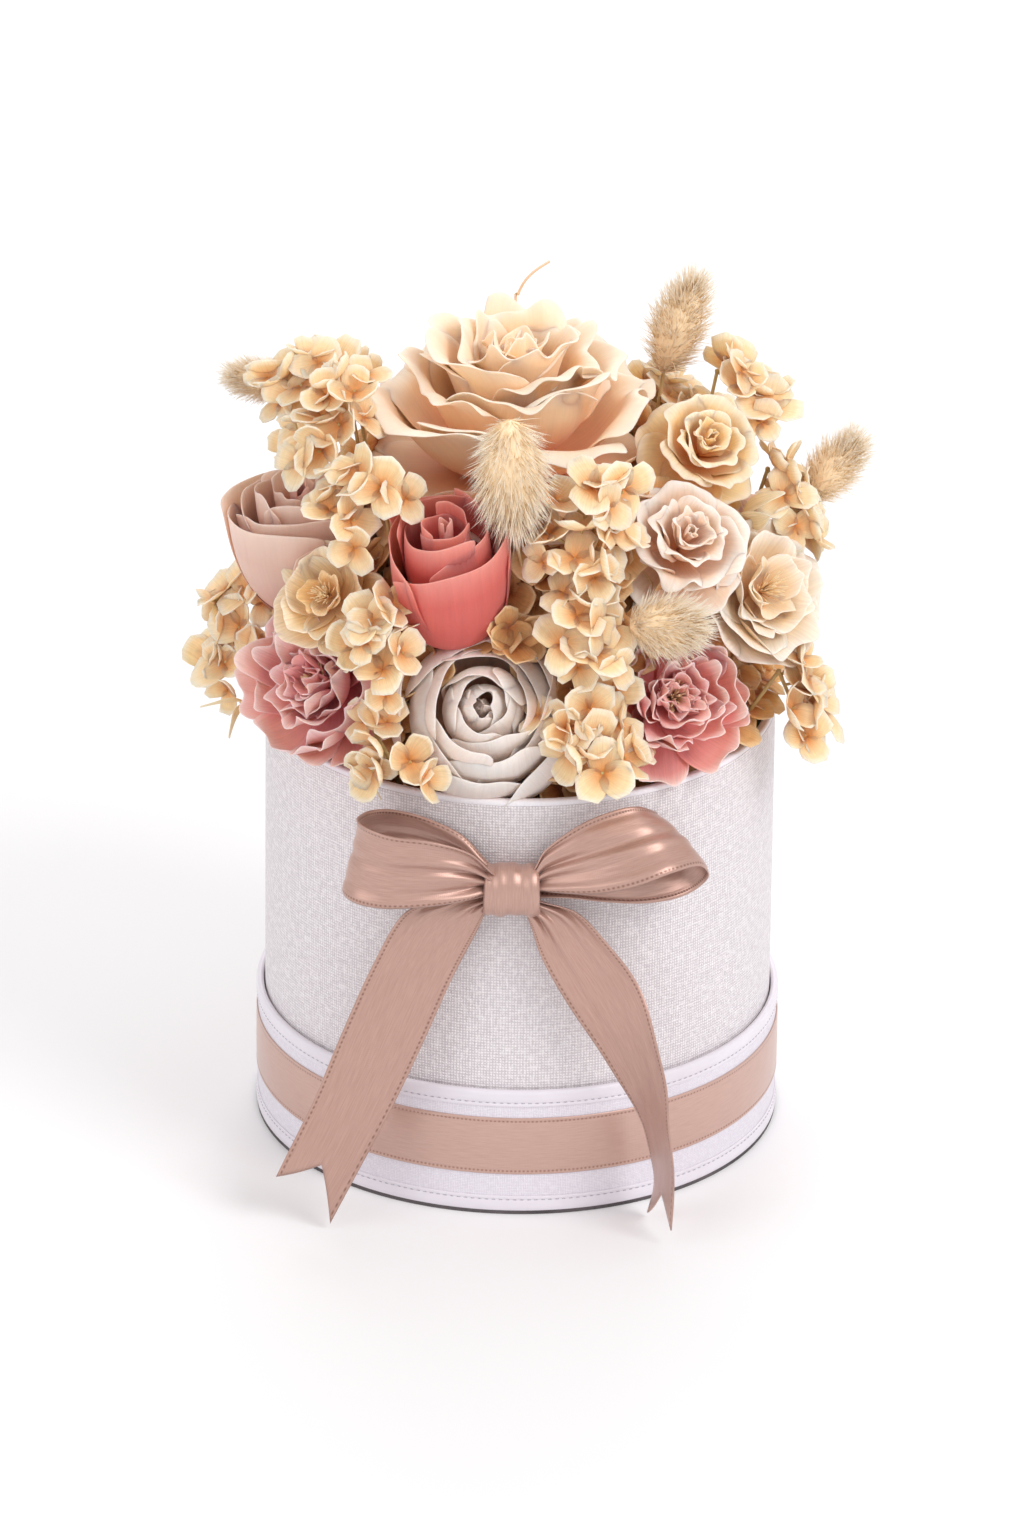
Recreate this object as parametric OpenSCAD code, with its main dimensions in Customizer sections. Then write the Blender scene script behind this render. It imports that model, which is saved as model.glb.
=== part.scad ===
// Round flower box: a hat box of preserved flowers that stands in its own lid.
// Z is up, the origin is the centre of the base on the table, and the bow faces -Y.

/* [Box] */
// Outer radius of the covered box
box_r = 80; // [79:0.25:80.25]
// Height of the box's rim above the table
rim_z = 141.5; // [138:0.5:146]
// Thickness of the rolled board in the box wall
board_t = 2; // [1.5:0.1:2.2]
// Thickness of the embossed paper outside and of the lining inside
paper_t = 0.4; // [0.2:0.05:0.5]

/* [Lid used as the base tray] */
// Height of the lid
lid_h = 42.9; // [38:0.1:48]
// Thickness of the board in the lid wall
lid_board_t = 1.4; // [1:0.1:2]
// Height of the upper edge trim
upper_trim_h = 5.4; // [3:0.1:8]
// Height of the lower edge trim
lower_trim_h = 6.3; // [3:0.1:9]
// Lower edge of the satin band round the lid
band_low_z = 14; // [10:0.5:16]
// Width of the satin band round the lid
band_w = 19.5; // [12:0.5:20]

/* [Bow] */
// Width of the bow ribbon
ribbon_w = 25; // [20:0.5:26]
// Thickness of the bow ribbon
ribbon_t = 0.6; // [0.4:0.1:1]
// Height of the knot's centre
knot_z = 114.6; // [110:0.2:118]

/* [Foam insert] */
// Height of the foam's top above the table
foam_top_z = 126; // [120:0.5:130]
// Thickness of the plastic liner
liner_t = 0.5; // [0.3:0.1:0.8]

/* [Flowers] */
// Radius of one hydrangea floret
floret_r = 5; // [4:0.25:5]
// Radius of a taped flower wire
wire_r = 0.8; // [0.5:0.1:1]
// Radius of a dried grass stalk or a hydrangea stem
stem_r = 0.6; // [0.4:0.1:0.8]

/* [Hidden] */
$fn = 48;
STEM_FACES = 6;

// Clearances between bodies that slide past each other
slide_gap = 0.3;
rest_gap = 0.1;

// Lid
lid_floor_t = 2.4;
lid_lining_t = 0.3;
lid_skin_t = 0.3;
lid_inner_r = box_r + slide_gap;
lid_wall_r = lid_inner_r + lid_lining_t;
lid_outer_r = lid_wall_r + lid_board_t;
lid_skin_r = lid_outer_r + lid_skin_t;
trim_t = 0.3;
band_t = 0.45;
trim_return = 4;

// Box, standing on the lid's lining
box_base_z = lid_floor_t + lid_lining_t + rest_gap;
box_wall_r = box_r - paper_t;
box_bore_r = box_wall_r - board_t;
lining_r = box_bore_r - paper_t;
box_floor_t = 2;
rim_t = 0.3;
rim_leg = 1.6;

// Insert, standing on the box floor
liner_r = lining_r - slide_gap;
liner_z = box_base_z + box_floor_t + rest_gap;
liner_lip = 2;
wire_depth = 25;

// Centre from which the flowers radiate
HUB = [0, 0, 120];

// Blooms: name, centre, radius, height, tilt from upright, turn from the front, outline, colour,
// and where it matters the place where its wire enters the foam, clear of the blooms below
ROSE = [[0, -0.5], [0.3, -0.5], [0.72, -0.3], [1, 0.1], [0.96, 0.28], [0.82, 0.2], [0.76, 0.4],
    [0.56, 0.32], [0.5, 0.5], [0.15, 0.42], [0, 0.42]];
OPEN = [[0, -0.5], [0.25, -0.5], [0.7, -0.25], [1, 0.2], [0.9, 0.42], [0.68, 0.18], [0.58, 0.5],
    [0.34, 0.3], [0.2, 0.44], [0, 0.4]];
BALL = [[0, -0.5], [0.36, -0.47], [0.76, -0.3], [0.97, 0], [0.9, 0.26], [0.62, 0.46], [0.52, 0.38],
    [0.32, 0.5], [0.22, 0.4], [0, 0.42]];
BLOOMS = [
    ["peach_rose", [0.5, -3, 247], 48, 46, 6, 0, ROSE, "#F0CBA8"],
    ["coral_rose", [-21.5, -58, 209], 18.5, 46, 22, -14, ROSE, "#D9696A", [-36, -8]],
    ["cream_ranunculus", [-11, -60, 160.5], 23.5, 42, 62, 0, BALL, "#E3CFC5"],
    ["pink_peony_left", [-60, -47, 164], 20, 28, 62, -38, OPEN, "#D98892"],
    ["pink_peony_right", [48, -51, 163], 19.5, 26, 62, 26, OPEN, "#E08A92"],
    ["mauve_rose", [-68, -19, 206], 19.5, 38, 24, -50, ROSE, "#C9A09A"],
    ["blush_rose", [49, -39, 211], 17.5, 26, 44, 30, OPEN, "#EBCFC4"],
    ["apricot_bloom", [55, -9, 230], 14.5, 20, 44, 40, OPEN, "#EFCB94"],
    ["cream_bloom", [73, -23, 186], 17.5, 24, 66, 66, OPEN, "#EED6AC"],
    ["speckled_bloom", [-59, -52, 196], 13.5, 20, 58, -34, OPEN, "#DDBF93", [-22, 16]],
    ["back_left_rose", [-60, 40, 171], 22, 36, 58, -122, ROSE, "#EBCFC4"],
    ["back_peony", [-21, 64, 175], 20, 28, 58, -162, OPEN, "#D98892"],
    ["back_ranunculus", [25, 63, 169], 21.5, 38, 58, 158, BALL, "#E3CFC5"],
    ["back_right_rose", [64, 33, 178], 22, 36, 58, 118, ROSE, "#C9A09A"]
];

// Grass heads: name, foot of the head, tip of the head, radius, and where it matters its stalk's place
TAILS = [
    ["bunny_tail_front", [-3, -65, 224], [-4, -64, 262], 10.5, [22, -16]],
    ["bunny_tail_top", [43, 31, 238], [54, 30, 273], 10],
    ["bunny_tail_right", [88, 10, 204], [106, 8, 228], 9],
    ["bunny_tail_low", [33, -71, 197], [54, -75, 199], 9.5],
    ["bunny_tail_left", [-72, 23, 235.5], [-94, 22, 239.5], 7.5],
    ["bunny_tail_back", [-24, 54, 204], [-30, 75, 224], 9, [-6, 24]]
];

// Hydrangea sprigs: name, upper end, lower end, spread, florets, and where it matters the stem's place
SPRIGS = [
    ["sprig_top_left", [-56, 6, 250], [-78, 3, 240], 8, 6],
    ["sprig_crown_left", [-52, -22, 256], [-64, -24, 232], 9, 7],
    ["sprig_front_left", [-44, -52, 238], [-58, -54, 222], 8.5, 5],
    ["sprig_by_coral", [-45, -68, 202], [-40, -77, 180], 7.5, 5, [-26, -16]],
    ["sprig_low_left", [-84, -10, 184], [-91, -14, 152], 9, 8],
    ["sprig_rim_left", [-46, -70, 162], [-36, -84, 150], 7, 4],
    ["sprig_centre", [21.5, -54, 236], [14.5, -65, 210], 10, 8],
    ["sprig_mid_right", [13, -70, 203], [23, -75, 186], 8, 5, [17, -34]],
    ["sprig_rim_right", [18, -72, 174], [24, -84, 151], 9.5, 8],
    ["sprig_top_right", [60, 18, 244], [76, 14, 232], 8, 6],
    ["sprig_right", [76, 2, 218], [86, -4, 194], 8, 7],
    ["sprig_low_right", [80, -31, 164], [89, -28, 141], 9.5, 7],
    ["sprig_back_left", [-48, 36, 232], [-66, 44, 206], 9, 8],
    ["sprig_back", [12, 48, 236], [10, 66, 208], 9, 8],
    ["sprig_back_right", [36, 44, 226], [62, 38, 212], 9, 8]
];

function unit(v) = v / norm(v);

// The point in the foam that a stem is pushed down to, at its stated place or else below p
function foot(p, place) = let (at = is_undef(place) ? [p.x, p.y] * 0.55 : place)
    [at.x, at.y, foam_top_z - wire_depth];

// The way a bloom faces: tilt from upright, then turn round the box from the front
function facing(tilt, turn) = [sin(tilt) * sin(turn), -sin(tilt) * cos(turn), cos(tilt)];

// Hydrangea rule: florets stand in three rows down the sprig's axis, on its outer side
function sprig_out(s) = unit((s[1] + s[2]) / 2 - HUB);
function sprig_side(s) = unit(cross(s[2] - s[1], sprig_out(s)));
function row_of(i) = i % 3 - 1;
function axis_at(s, i) = s[1] + (s[2] - s[1]) * (i + 0.5) / s[4];
function floret_at(s, i) = axis_at(s, i) + s[3] * row_of(i) * sprig_side(s)
    + s[3] * (0.9 - 0.4 * abs(row_of(i)) + 0.12 * sin(77 * i)) * sprig_out(s);
function floret_way(s, i) = unit(sprig_out(s) + 0.6 * row_of(i) * sprig_side(s));

module tube(r_out, r_in, z0, z1) {
    translate([0, 0, z0]) difference() {
        cylinder(h = z1 - z0, r = r_out, $fn = 128);
        translate([0, 0, -1]) cylinder(h = z1 - z0 + 2, r = r_in, $fn = 128);
    }
}

module disc(r, z0, z1) {
    translate([0, 0, z0]) cylinder(h = z1 - z0, r = r, $fn = 128);
}

// A paper edge folded over the top of a wall, as one ring with an outer and an inner leg
module folded_edge(r_out, r_in, z_top, t, outer_leg, inner_leg) {
    rotate_extrude($fn = 128) polygon([
        [r_out, z_top - outer_leg], [r_out + t, z_top - outer_leg], [r_out + t, z_top + t],
        [r_in - t, z_top + t], [r_in - t, z_top - inner_leg], [r_in, z_top - inner_leg],
        [r_in, z_top], [r_out, z_top]]);
}

// A straight stem from a to b
module rod(a, b, r, faces = STEM_FACES) {
    way = b - a;
    translate(a)
        rotate([0, acos(way.z / norm(way)), atan2(way.y, way.x)])
            cylinder(h = norm(way), r = r, $fn = faces);
}

// Turns +Z to face a direction
module facing_to(way) {
    rotate([0, acos(way.z / norm(way)), atan2(way.y, way.x)]) children();
}

module bloom(b) {
    color(b[7]) translate(b[1]) rotate([0, 0, b[5]]) rotate([b[4], 0, 0])
        rotate_extrude() polygon([for (p = b[6]) [p.x * b[2], p.y * b[3]]]);
}

module grass_head(g) {
    steps = 9;
    long = norm(g[2] - g[1]);
    color("#E2CFA6") translate(g[1]) facing_to(g[2] - g[1])
        rotate_extrude() polygon(concat([[0, 0]],
            [for (i = [1:steps - 1]) [g[3] * pow(sin(180 * i / steps), 0.75), long * i / steps]],
            [[0, long]]));
}

module sprig(s) {
    color("#EBCB98") for (i = [0:s[4] - 1])
        translate(floret_at(s, i)) facing_to(floret_way(s, i))
            translate([0, 0, -2]) cylinder(h = 4, r1 = 2, r2 = floret_r, $fn = 24);
}

module bloom_wires() {
    color("#7D8A5A") for (b = BLOOMS) {
        base = b[1] - facing(b[4], b[5]) * (b[3] / 2 - 4);
        rod(foot(base, b[8]), base, wire_r);
    }
}

module grass_stalks() {
    color("#CDB98A") for (g = TAILS)
        rod(foot(g[1], g[4]), g[1] + unit(g[2] - g[1]) * 3, stem_r);
}

module sprig_stems() {
    color("#B9A26B") for (s = SPRIGS) {
        last = axis_at(s, s[4] - 1);
        rod(foot(s[1], s[5]), s[1], stem_r);
        translate(s[1]) sphere(r = stem_r * 1.3, $fn = 16);
        rod(s[1], last, stem_r);
        for (i = [0:s[4] - 1])
            rod(axis_at(s, i), floret_at(s, i) - floret_way(s, i) * 1.5, stem_r * 0.8);
    }
}

module lid_floor() { color("#F1EEF4") disc(lid_outer_r, 0, lid_floor_t); }
module lid_wall() {
    color("#D9D2CB") tube(lid_outer_r, lid_wall_r, lid_floor_t, lid_h - trim_t);
}
module lid_lining() {
    color("#F4F2F4") {
        disc(lid_wall_r, lid_floor_t, lid_floor_t + lid_lining_t);
        tube(lid_wall_r, lid_inner_r, lid_floor_t + lid_lining_t, lid_h - trim_t - trim_return);
    }
}
module lid_cover() { color("#ECE7F0") tube(lid_skin_r, lid_outer_r, 0, lid_h - trim_t); }
module lid_upper_trim() {
    color("#F3F1F8")
        folded_edge(lid_skin_r, lid_wall_r, lid_h - trim_t, trim_t, upper_trim_h, trim_return);
}
module lid_lower_trim() { color("#F3F1F8") tube(lid_skin_r + trim_t, lid_skin_r, 0, lower_trim_h); }
module lid_ribbon() { color("#B99588") tube(lid_skin_r + band_t, lid_skin_r, band_low_z, band_low_z + band_w); }

module box_floor() { color("#D9D2CB") disc(box_bore_r, box_base_z, box_base_z + box_floor_t); }
module box_wall() { color("#D9D2CB") tube(box_wall_r, box_bore_r, box_base_z, rim_z - rim_t); }
module box_cover() { color("#E9E4EA") tube(box_r, box_wall_r, box_base_z, rim_z - rim_t - rim_leg); }
module box_lining() {
    color("#F4F2F4") tube(box_bore_r, lining_r, box_base_z + box_floor_t, rim_z - rim_t - rim_leg);
}
module rim_trim() {
    color("#F6F5F8") folded_edge(box_wall_r, box_bore_r, rim_z - rim_t, rim_t, rim_leg, rim_leg);
}

// The knot's centre, at the back of the bow
KNOT = [-2, -(box_r + 0.1), knot_z];

// One ribbon loop, standing on edge: a closed band that narrows where it is gathered at the knot
module bow_loop(reach, depth) {
    end_r = depth / 2;
    neck_r = 2.5;
    neck_x = 10.6;
    translate([0, -2.4 - end_r, 0]) intersection() {
        translate([0, 0, -ribbon_w / 2]) linear_extrude(ribbon_w) difference() {
            hull() {
                translate([reach - end_r, 0]) circle(r = end_r, $fn = 32);
                translate([neck_x, 0]) circle(r = neck_r, $fn = 24);
            }
            hull() {
                translate([reach - end_r, 0]) circle(r = end_r - ribbon_t, $fn = 32);
                translate([neck_x, 0]) circle(r = neck_r - ribbon_t, $fn = 24);
            }
        }
        rotate([90, 0, 0]) linear_extrude(2 * depth, center = true) polygon([
            [0, -7], [neck_x, -7], [reach * 0.6, -ribbon_w], [reach + 1, -ribbon_w],
            [reach + 1, ribbon_w], [reach * 0.6, ribbon_w], [neck_x, 7], [0, 7]]);
    }
}
module bow_left_loop() {
    color("#B99588") translate(KNOT) mirror([1, 0, 0]) rotate([0, -8, 9]) bow_loop(51, 15);
}
module bow_right_loop() {
    color("#B99588") translate(KNOT) rotate([0, -12, 9]) bow_loop(61, 14);
}
module bow_knot() {
    color("#A98577") translate(KNOT) rotate([90, 0, 0]) intersection() {
        translate([0, 0, 4.5]) cube([15, 18, 9], center = true);
        translate([0, 0, -2.5]) rotate([90, 0, 0]) cylinder(h = 20, r = 11.5, center = true);
    }
}

// A ribbon tail hanging from the knot, with a swallow-tail end
module bow_tail(outline, lean) {
    translate([0, -(box_r + 4.2), knot_z - 10]) rotate([90 - lean, 0, 0])
        linear_extrude(ribbon_t) polygon(outline);
}
module bow_left_tail() {
    color("#B99588") bow_tail([[-16, 0], [-4, 0], [-19, -25], [-36, -62], [-57, -103], [-61, -91],
        [-73, -88], [-50, -48], [-30, -12]], 5);
}
module bow_right_tail() {
    color("#B99588") bow_tail([[0, 0], [12, 0], [33, -30], [44, -62], [48, -103], [45, -97],
        [41, -102], [34, -66], [16, -34]], 5);
}

module foam_liner() {
    color("#DFE4DC") {
        disc(liner_r, liner_z, liner_z + liner_t);
        tube(liner_r, liner_r - liner_t, liner_z + liner_t, foam_top_z + liner_lip);
    }
}
module foam_block() { color("#5F6B52") disc(liner_r - liner_t, liner_z + liner_t, foam_top_z); }

// A flat pointed leaf lying along +X
module leaf(long, wide, t) {
    linear_extrude(t) polygon([[0, 0], [long * 0.3, wide * 0.45], [long * 0.65, wide * 0.4],
        [long, 0], [long * 0.65, -wide * 0.4], [long * 0.3, -wide * 0.45]]);
}
module leaf_left() {
    bend = [-72, -26, 157];
    tip = [-87, -32, 151];
    color("#D8C49A") {
        rod([-44, -12, foam_top_z - wire_depth], bend, stem_r);
        translate(bend) sphere(r = stem_r * 1.3, $fn = 16);
        rod(bend, tip, stem_r);
        translate(tip + [1, 0, -0.4]) rotate([20, 6, 176]) leaf(14, 5, 0.8);
        translate(tip + [1, 0, -0.4]) rotate([30, 52, 232]) leaf(13, 4, 0.8);
    }
}
module leaf_right() {
    color("#DCC58E") {
        rod([42, -4, foam_top_z - wire_depth], [69, -15, 210], stem_r);
        translate([68.5, -15, 209]) rotate([30, -40, -14]) leaf(17, 7, 0.8);
        translate([68.5, -15, 209]) rotate([-20, -24, -62]) leaf(15, 6, 0.8);
    }
}
module tendril() {
    arc_r = 20;
    color("#E6CDB2") {
        rod([0, 33, foam_top_z - wire_depth], [-3, 56, 252], stem_r);
        translate([-3 + arc_r, 56, 251]) rotate([90, 0, 0]) rotate([0, 0, 118])
            rotate_extrude(angle = 62) translate([arc_r, 0]) circle(r = stem_r, $fn = 16);
    }
}

lid_floor();
lid_wall();
lid_lining();
lid_cover();
lid_upper_trim();
lid_lower_trim();
lid_ribbon();
box_floor();
box_wall();
box_cover();
box_lining();
rim_trim();
bow_left_loop();
bow_right_loop();
bow_knot();
bow_left_tail();
bow_right_tail();
foam_liner();
foam_block();
bloom_wires();
grass_stalks();
sprig_stems();
leaf_left();
leaf_right();
tendril();
for (b = BLOOMS) bloom(b);
for (g = TAILS) grass_head(g);
for (s = SPRIGS) sprig(s);
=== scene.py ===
import math
import bpy
import numpy as np
from mathutils import Matrix, Vector


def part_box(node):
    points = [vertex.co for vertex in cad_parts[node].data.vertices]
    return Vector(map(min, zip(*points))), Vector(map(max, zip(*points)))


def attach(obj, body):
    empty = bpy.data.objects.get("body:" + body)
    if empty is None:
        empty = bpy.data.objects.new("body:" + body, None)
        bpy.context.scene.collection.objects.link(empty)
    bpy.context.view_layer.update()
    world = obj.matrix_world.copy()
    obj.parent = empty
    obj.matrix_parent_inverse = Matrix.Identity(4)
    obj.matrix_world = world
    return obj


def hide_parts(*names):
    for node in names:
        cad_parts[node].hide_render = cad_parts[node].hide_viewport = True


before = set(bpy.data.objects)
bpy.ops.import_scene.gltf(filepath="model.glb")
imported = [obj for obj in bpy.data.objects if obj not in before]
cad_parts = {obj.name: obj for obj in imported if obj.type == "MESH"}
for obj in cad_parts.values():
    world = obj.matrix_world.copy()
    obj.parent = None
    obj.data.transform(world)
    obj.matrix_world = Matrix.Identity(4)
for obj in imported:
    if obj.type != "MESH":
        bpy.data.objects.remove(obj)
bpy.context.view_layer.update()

# Lengths below are in millimetres and are turned to metres where a mesh is made
MM = 0.001
BOX_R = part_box("box_cover")[1].x / MM
LID_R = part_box("lid_cover")[1].x / MM
RIM_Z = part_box("rim_trim")[1].z / MM
LID_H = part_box("lid_upper_trim")[1].z / MM
SKIN_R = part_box("lid_upper_trim")[1].x / MM
LINING_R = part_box("box_lining")[1].x / MM


# ---------------------------------------------------------------- colours and nodes

def linear(code):
    parts = [int(code[i:i + 2], 16) / 255 for i in (1, 3, 5)]
    return tuple(c / 12.92 if c <= 0.04045 else ((c + 0.055) / 1.055) ** 2.4 for c in parts) + (1.0,)


def feed(tree, node, inputs):
    """Sets or links inputs. A value is a number, a colour, a socket, or a node for its live output."""
    for name, value in inputs.items():
        if isinstance(value, bpy.types.Node):
            value = next(output for output in value.outputs if output.enabled)
        if isinstance(value, bpy.types.NodeSocket):
            tree.links.new(value, node.inputs[name])
        else:
            node.inputs[name].default_value = value


def add(tree, kind, inputs, **settings):
    node = tree.nodes.new("ShaderNode" + kind)
    for name, value in settings.items():
        setattr(node, name, value)
    feed(tree, node, inputs)
    return node


def start(name, **sockets):
    made = bpy.data.materials.new(name)
    made.use_nodes = True
    tree = made.node_tree
    shader = tree.nodes["Principled BSDF"]
    feed(tree, shader, {socket.replace("_", " "): value for socket, value in sockets.items()})
    return made, tree, shader


# Settings of a Mix node for colours. Its colours are inputs 6 and 7
COLOURS = {"data_type": "RGBA"}
TINT = {"data_type": "RGBA", "blend_type": "MULTIPLY"}
# Scale of a Wave node over its pitch in millimetres
WAVE = 0.314


def round_and_up(tree, radius):
    """Millimetres round a cylinder and up it, from the object's own coordinates."""
    place = add(tree, "TexCoord", {})
    split = add(tree, "SeparateXYZ", {0: place.outputs["Object"]})
    angle = add(tree, "Math", {0: split.outputs["Y"], 1: split.outputs["X"]}, operation="ARCTAN2")
    arc = add(tree, "Math", {0: angle, 1: radius}, operation="MULTIPLY")
    up = add(tree, "Math", {0: split.outputs["Z"], 1: 1 / MM}, operation="MULTIPLY")
    return add(tree, "CombineXYZ", {"X": arc, "Y": up}), arc, up


# Pearl board paper, embossed with a linen weave of threads about 0.9 mm apart. The low parts of the weave are
# painted darker as shade, and fine white flecks on it are painted glints
def linen_paper(name, radius, pitch, depth, pale, shade):
    made, tree, shader = start(name, IOR=1.45, Sheen_Weight=0.08)
    wrapped = round_and_up(tree, radius)[0]
    threads = []
    for scale in ((1 / pitch, 0.28 / pitch, 1), (0.28 / pitch, 1 / pitch, 7)):
        drawn = add(tree, "Mapping", {"Vector": wrapped, "Scale": scale})
        threads.append(add(tree, "TexNoise", {"Vector": drawn, "Scale": 1.0, "Detail": 2.0,
                                              "Roughness": 0.55}))
    proud = add(tree, "Math", {0: threads[0], 1: threads[1]}, operation="MAXIMUM")
    rows = [add(tree, "TexWave", {"Vector": wrapped, "Scale": WAVE / pitch, "Distortion": 1.2, "Detail": 1.0,
                                  "Detail Scale": 2.0}, bands_direction=way).outputs["Fac"] for way in "YX"]
    grid = add(tree, "Math", {0: rows[0], 1: rows[1]}, operation="MULTIPLY")
    height = add(tree, "Math", {0: grid, 1: 0.45, 2: proud}, operation="MULTIPLY_ADD")
    # Colour follows the height of the weave: its low parts take the darker colour, which is painted shade
    tone = add(tree, "MapRange", {"Value": height, "From Min": 0.52, "From Max": 0.88})
    # Painted glints: fine near-white flecks mixed into the paper's colour
    flake = add(tree, "TexVoronoi", {"Vector": wrapped, "Scale": 1.1})
    painted_glint = add(tree, "MapRange", {"Value": flake, "From Min": 0.14, "From Max": 0.05})
    colour = add(tree, "Mix", {0: tone, 6: linear(shade), 7: linear(pale)}, **COLOURS)
    colour = add(tree, "Mix", {0: painted_glint, 6: colour, 7: linear("#FFFDFA")}, **COLOURS)
    rough = add(tree, "MapRange", {"Value": tone, "To Min": 0.62, "To Max": 0.30})
    bump = add(tree, "Bump", {"Height": height, "Strength": 0.85, "Distance": depth * MM})
    feed(tree, shader, {"Base Color": colour, "Roughness": rough, "Normal": bump})
    return made


# Bonded leatherette edging: smooth and slightly waxy, with a very fine grain
def leatherette():
    made, tree, shader = start("white_leatherette", Roughness=0.36, IOR=1.48, Coat_Weight=0.15,
                               Coat_Roughness=0.3)
    place = add(tree, "TexCoord", {}).outputs["Object"]
    cloud = add(tree, "TexNoise", {"Vector": place, "Scale": 90.0, "Detail": 3.0})
    grain = add(tree, "TexVoronoi", {"Vector": place, "Scale": 1400.0}, feature="DISTANCE_TO_EDGE")
    colour = add(tree, "Mix", {0: cloud, 6: linear("#DED7DF"), 7: linear("#E9E3EB")}, **COLOURS)
    bump = add(tree, "Bump", {"Height": grain, "Strength": 0.25, "Distance": 0.08 * MM})
    feed(tree, shader, {"Base Color": colour, "Normal": bump})
    return made


# Polyester sewing thread: twisted, a little shiny
def sewing_thread(name, pale, dark):
    made, tree, shader = start(name, Roughness=0.45, Sheen_Weight=0.3)
    place = add(tree, "TexCoord", {}).outputs["Object"]
    twist = add(tree, "TexWave", {"Vector": place, "Scale": 900.0, "Distortion": 0.5},
                bands_direction="DIAGONAL").outputs["Fac"]
    colour = add(tree, "Mix", {0: twist, 6: linear(dark), 7: linear(pale)}, **COLOURS)
    bump = add(tree, "Bump", {"Height": twist, "Strength": 0.5, "Distance": 0.05 * MM})
    feed(tree, shader, {"Base Color": colour, "Normal": bump})
    return made


# Single-faced satin ribbon: long floats run along the ribbon, and their soft streaked shine is partly painted
# into its colour as pale and dark streaks. A woven selvedge with a stitched line runs 1 mm inside both edges.
# Threads are 0.25 mm and are drawn at 0.5 mm
def satin(name, dark, pale, stitched, wrapped_radius=None, middle_z=0.0, half=12.5):
    made, tree, shader = start(name, Roughness=0.34, Sheen_Weight=0.3, Sheen_Roughness=0.35, Metallic=0.45,
                               Specular_IOR_Level=0.6)
    if wrapped_radius:
        along, up = round_and_up(tree, wrapped_radius)[1:]
        across = add(tree, "Math", {0: up, 1: middle_z}, operation="SUBTRACT")
    else:
        cloth = add(tree, "Attribute", {}, attribute_name="cloth").outputs["Vector"]
        split = add(tree, "SeparateXYZ", {0: cloth})
        across, along = split.outputs["X"], split.outputs["Y"]
    position = add(tree, "CombineXYZ", {"X": across, "Y": along})
    drawn = add(tree, "Mapping", {"Vector": position, "Scale": (2.6, 0.16, 1)})
    float_streaks_and_sheen = add(tree, "TexNoise", {"Vector": drawn, "Scale": 1.0, "Detail": 3.0, "Roughness": 0.6})
    weft = add(tree, "TexWave", {"Vector": position, "Scale": WAVE / 0.5, "Distortion": 0.6},
               bands_direction="Y").outputs["Fac"]
    distance = add(tree, "Math", {0: across}, operation="ABSOLUTE")
    inside = add(tree, "Math", {0: half - 1.1, 1: distance}, operation="SUBTRACT")
    away = add(tree, "Math", {0: inside}, operation="ABSOLUTE")
    line = add(tree, "MapRange", {"Value": away, "From Min": 0.45, "From Max": 0.15})
    turn = add(tree, "Math", {0: along, 1: 2 * math.pi / 1.3}, operation="MULTIPLY")
    wave = add(tree, "Math", {0: turn}, operation="SINE")
    dash = add(tree, "Math", {0: wave, 1: 0.5, 2: 0.55}, operation="MULTIPLY_ADD")
    stitch = add(tree, "Math", {0: line, 1: dash}, operation="MULTIPLY", use_clamp=True)
    # Streaks along the floats between the dark and pale colours: partly the weave's own tone, partly painted
    # sheen
    colour = add(tree, "Mix", {0: float_streaks_and_sheen, 6: linear(dark), 7: linear(pale)}, **COLOURS)
    colour = add(tree, "Mix", {0: stitch, 6: colour, 7: linear(stitched)}, **COLOURS)
    fine = add(tree, "Math", {0: weft, 1: 0.35, 2: float_streaks_and_sheen}, operation="MULTIPLY_ADD")
    relief = add(tree, "Math", {0: stitch, 1: -1.4, 2: fine}, operation="MULTIPLY_ADD")
    bump = add(tree, "Bump", {"Height": relief, "Strength": 0.35, "Distance": 0.1 * MM})
    feed(tree, shader, {"Base Color": colour, "Normal": bump})
    return made
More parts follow.
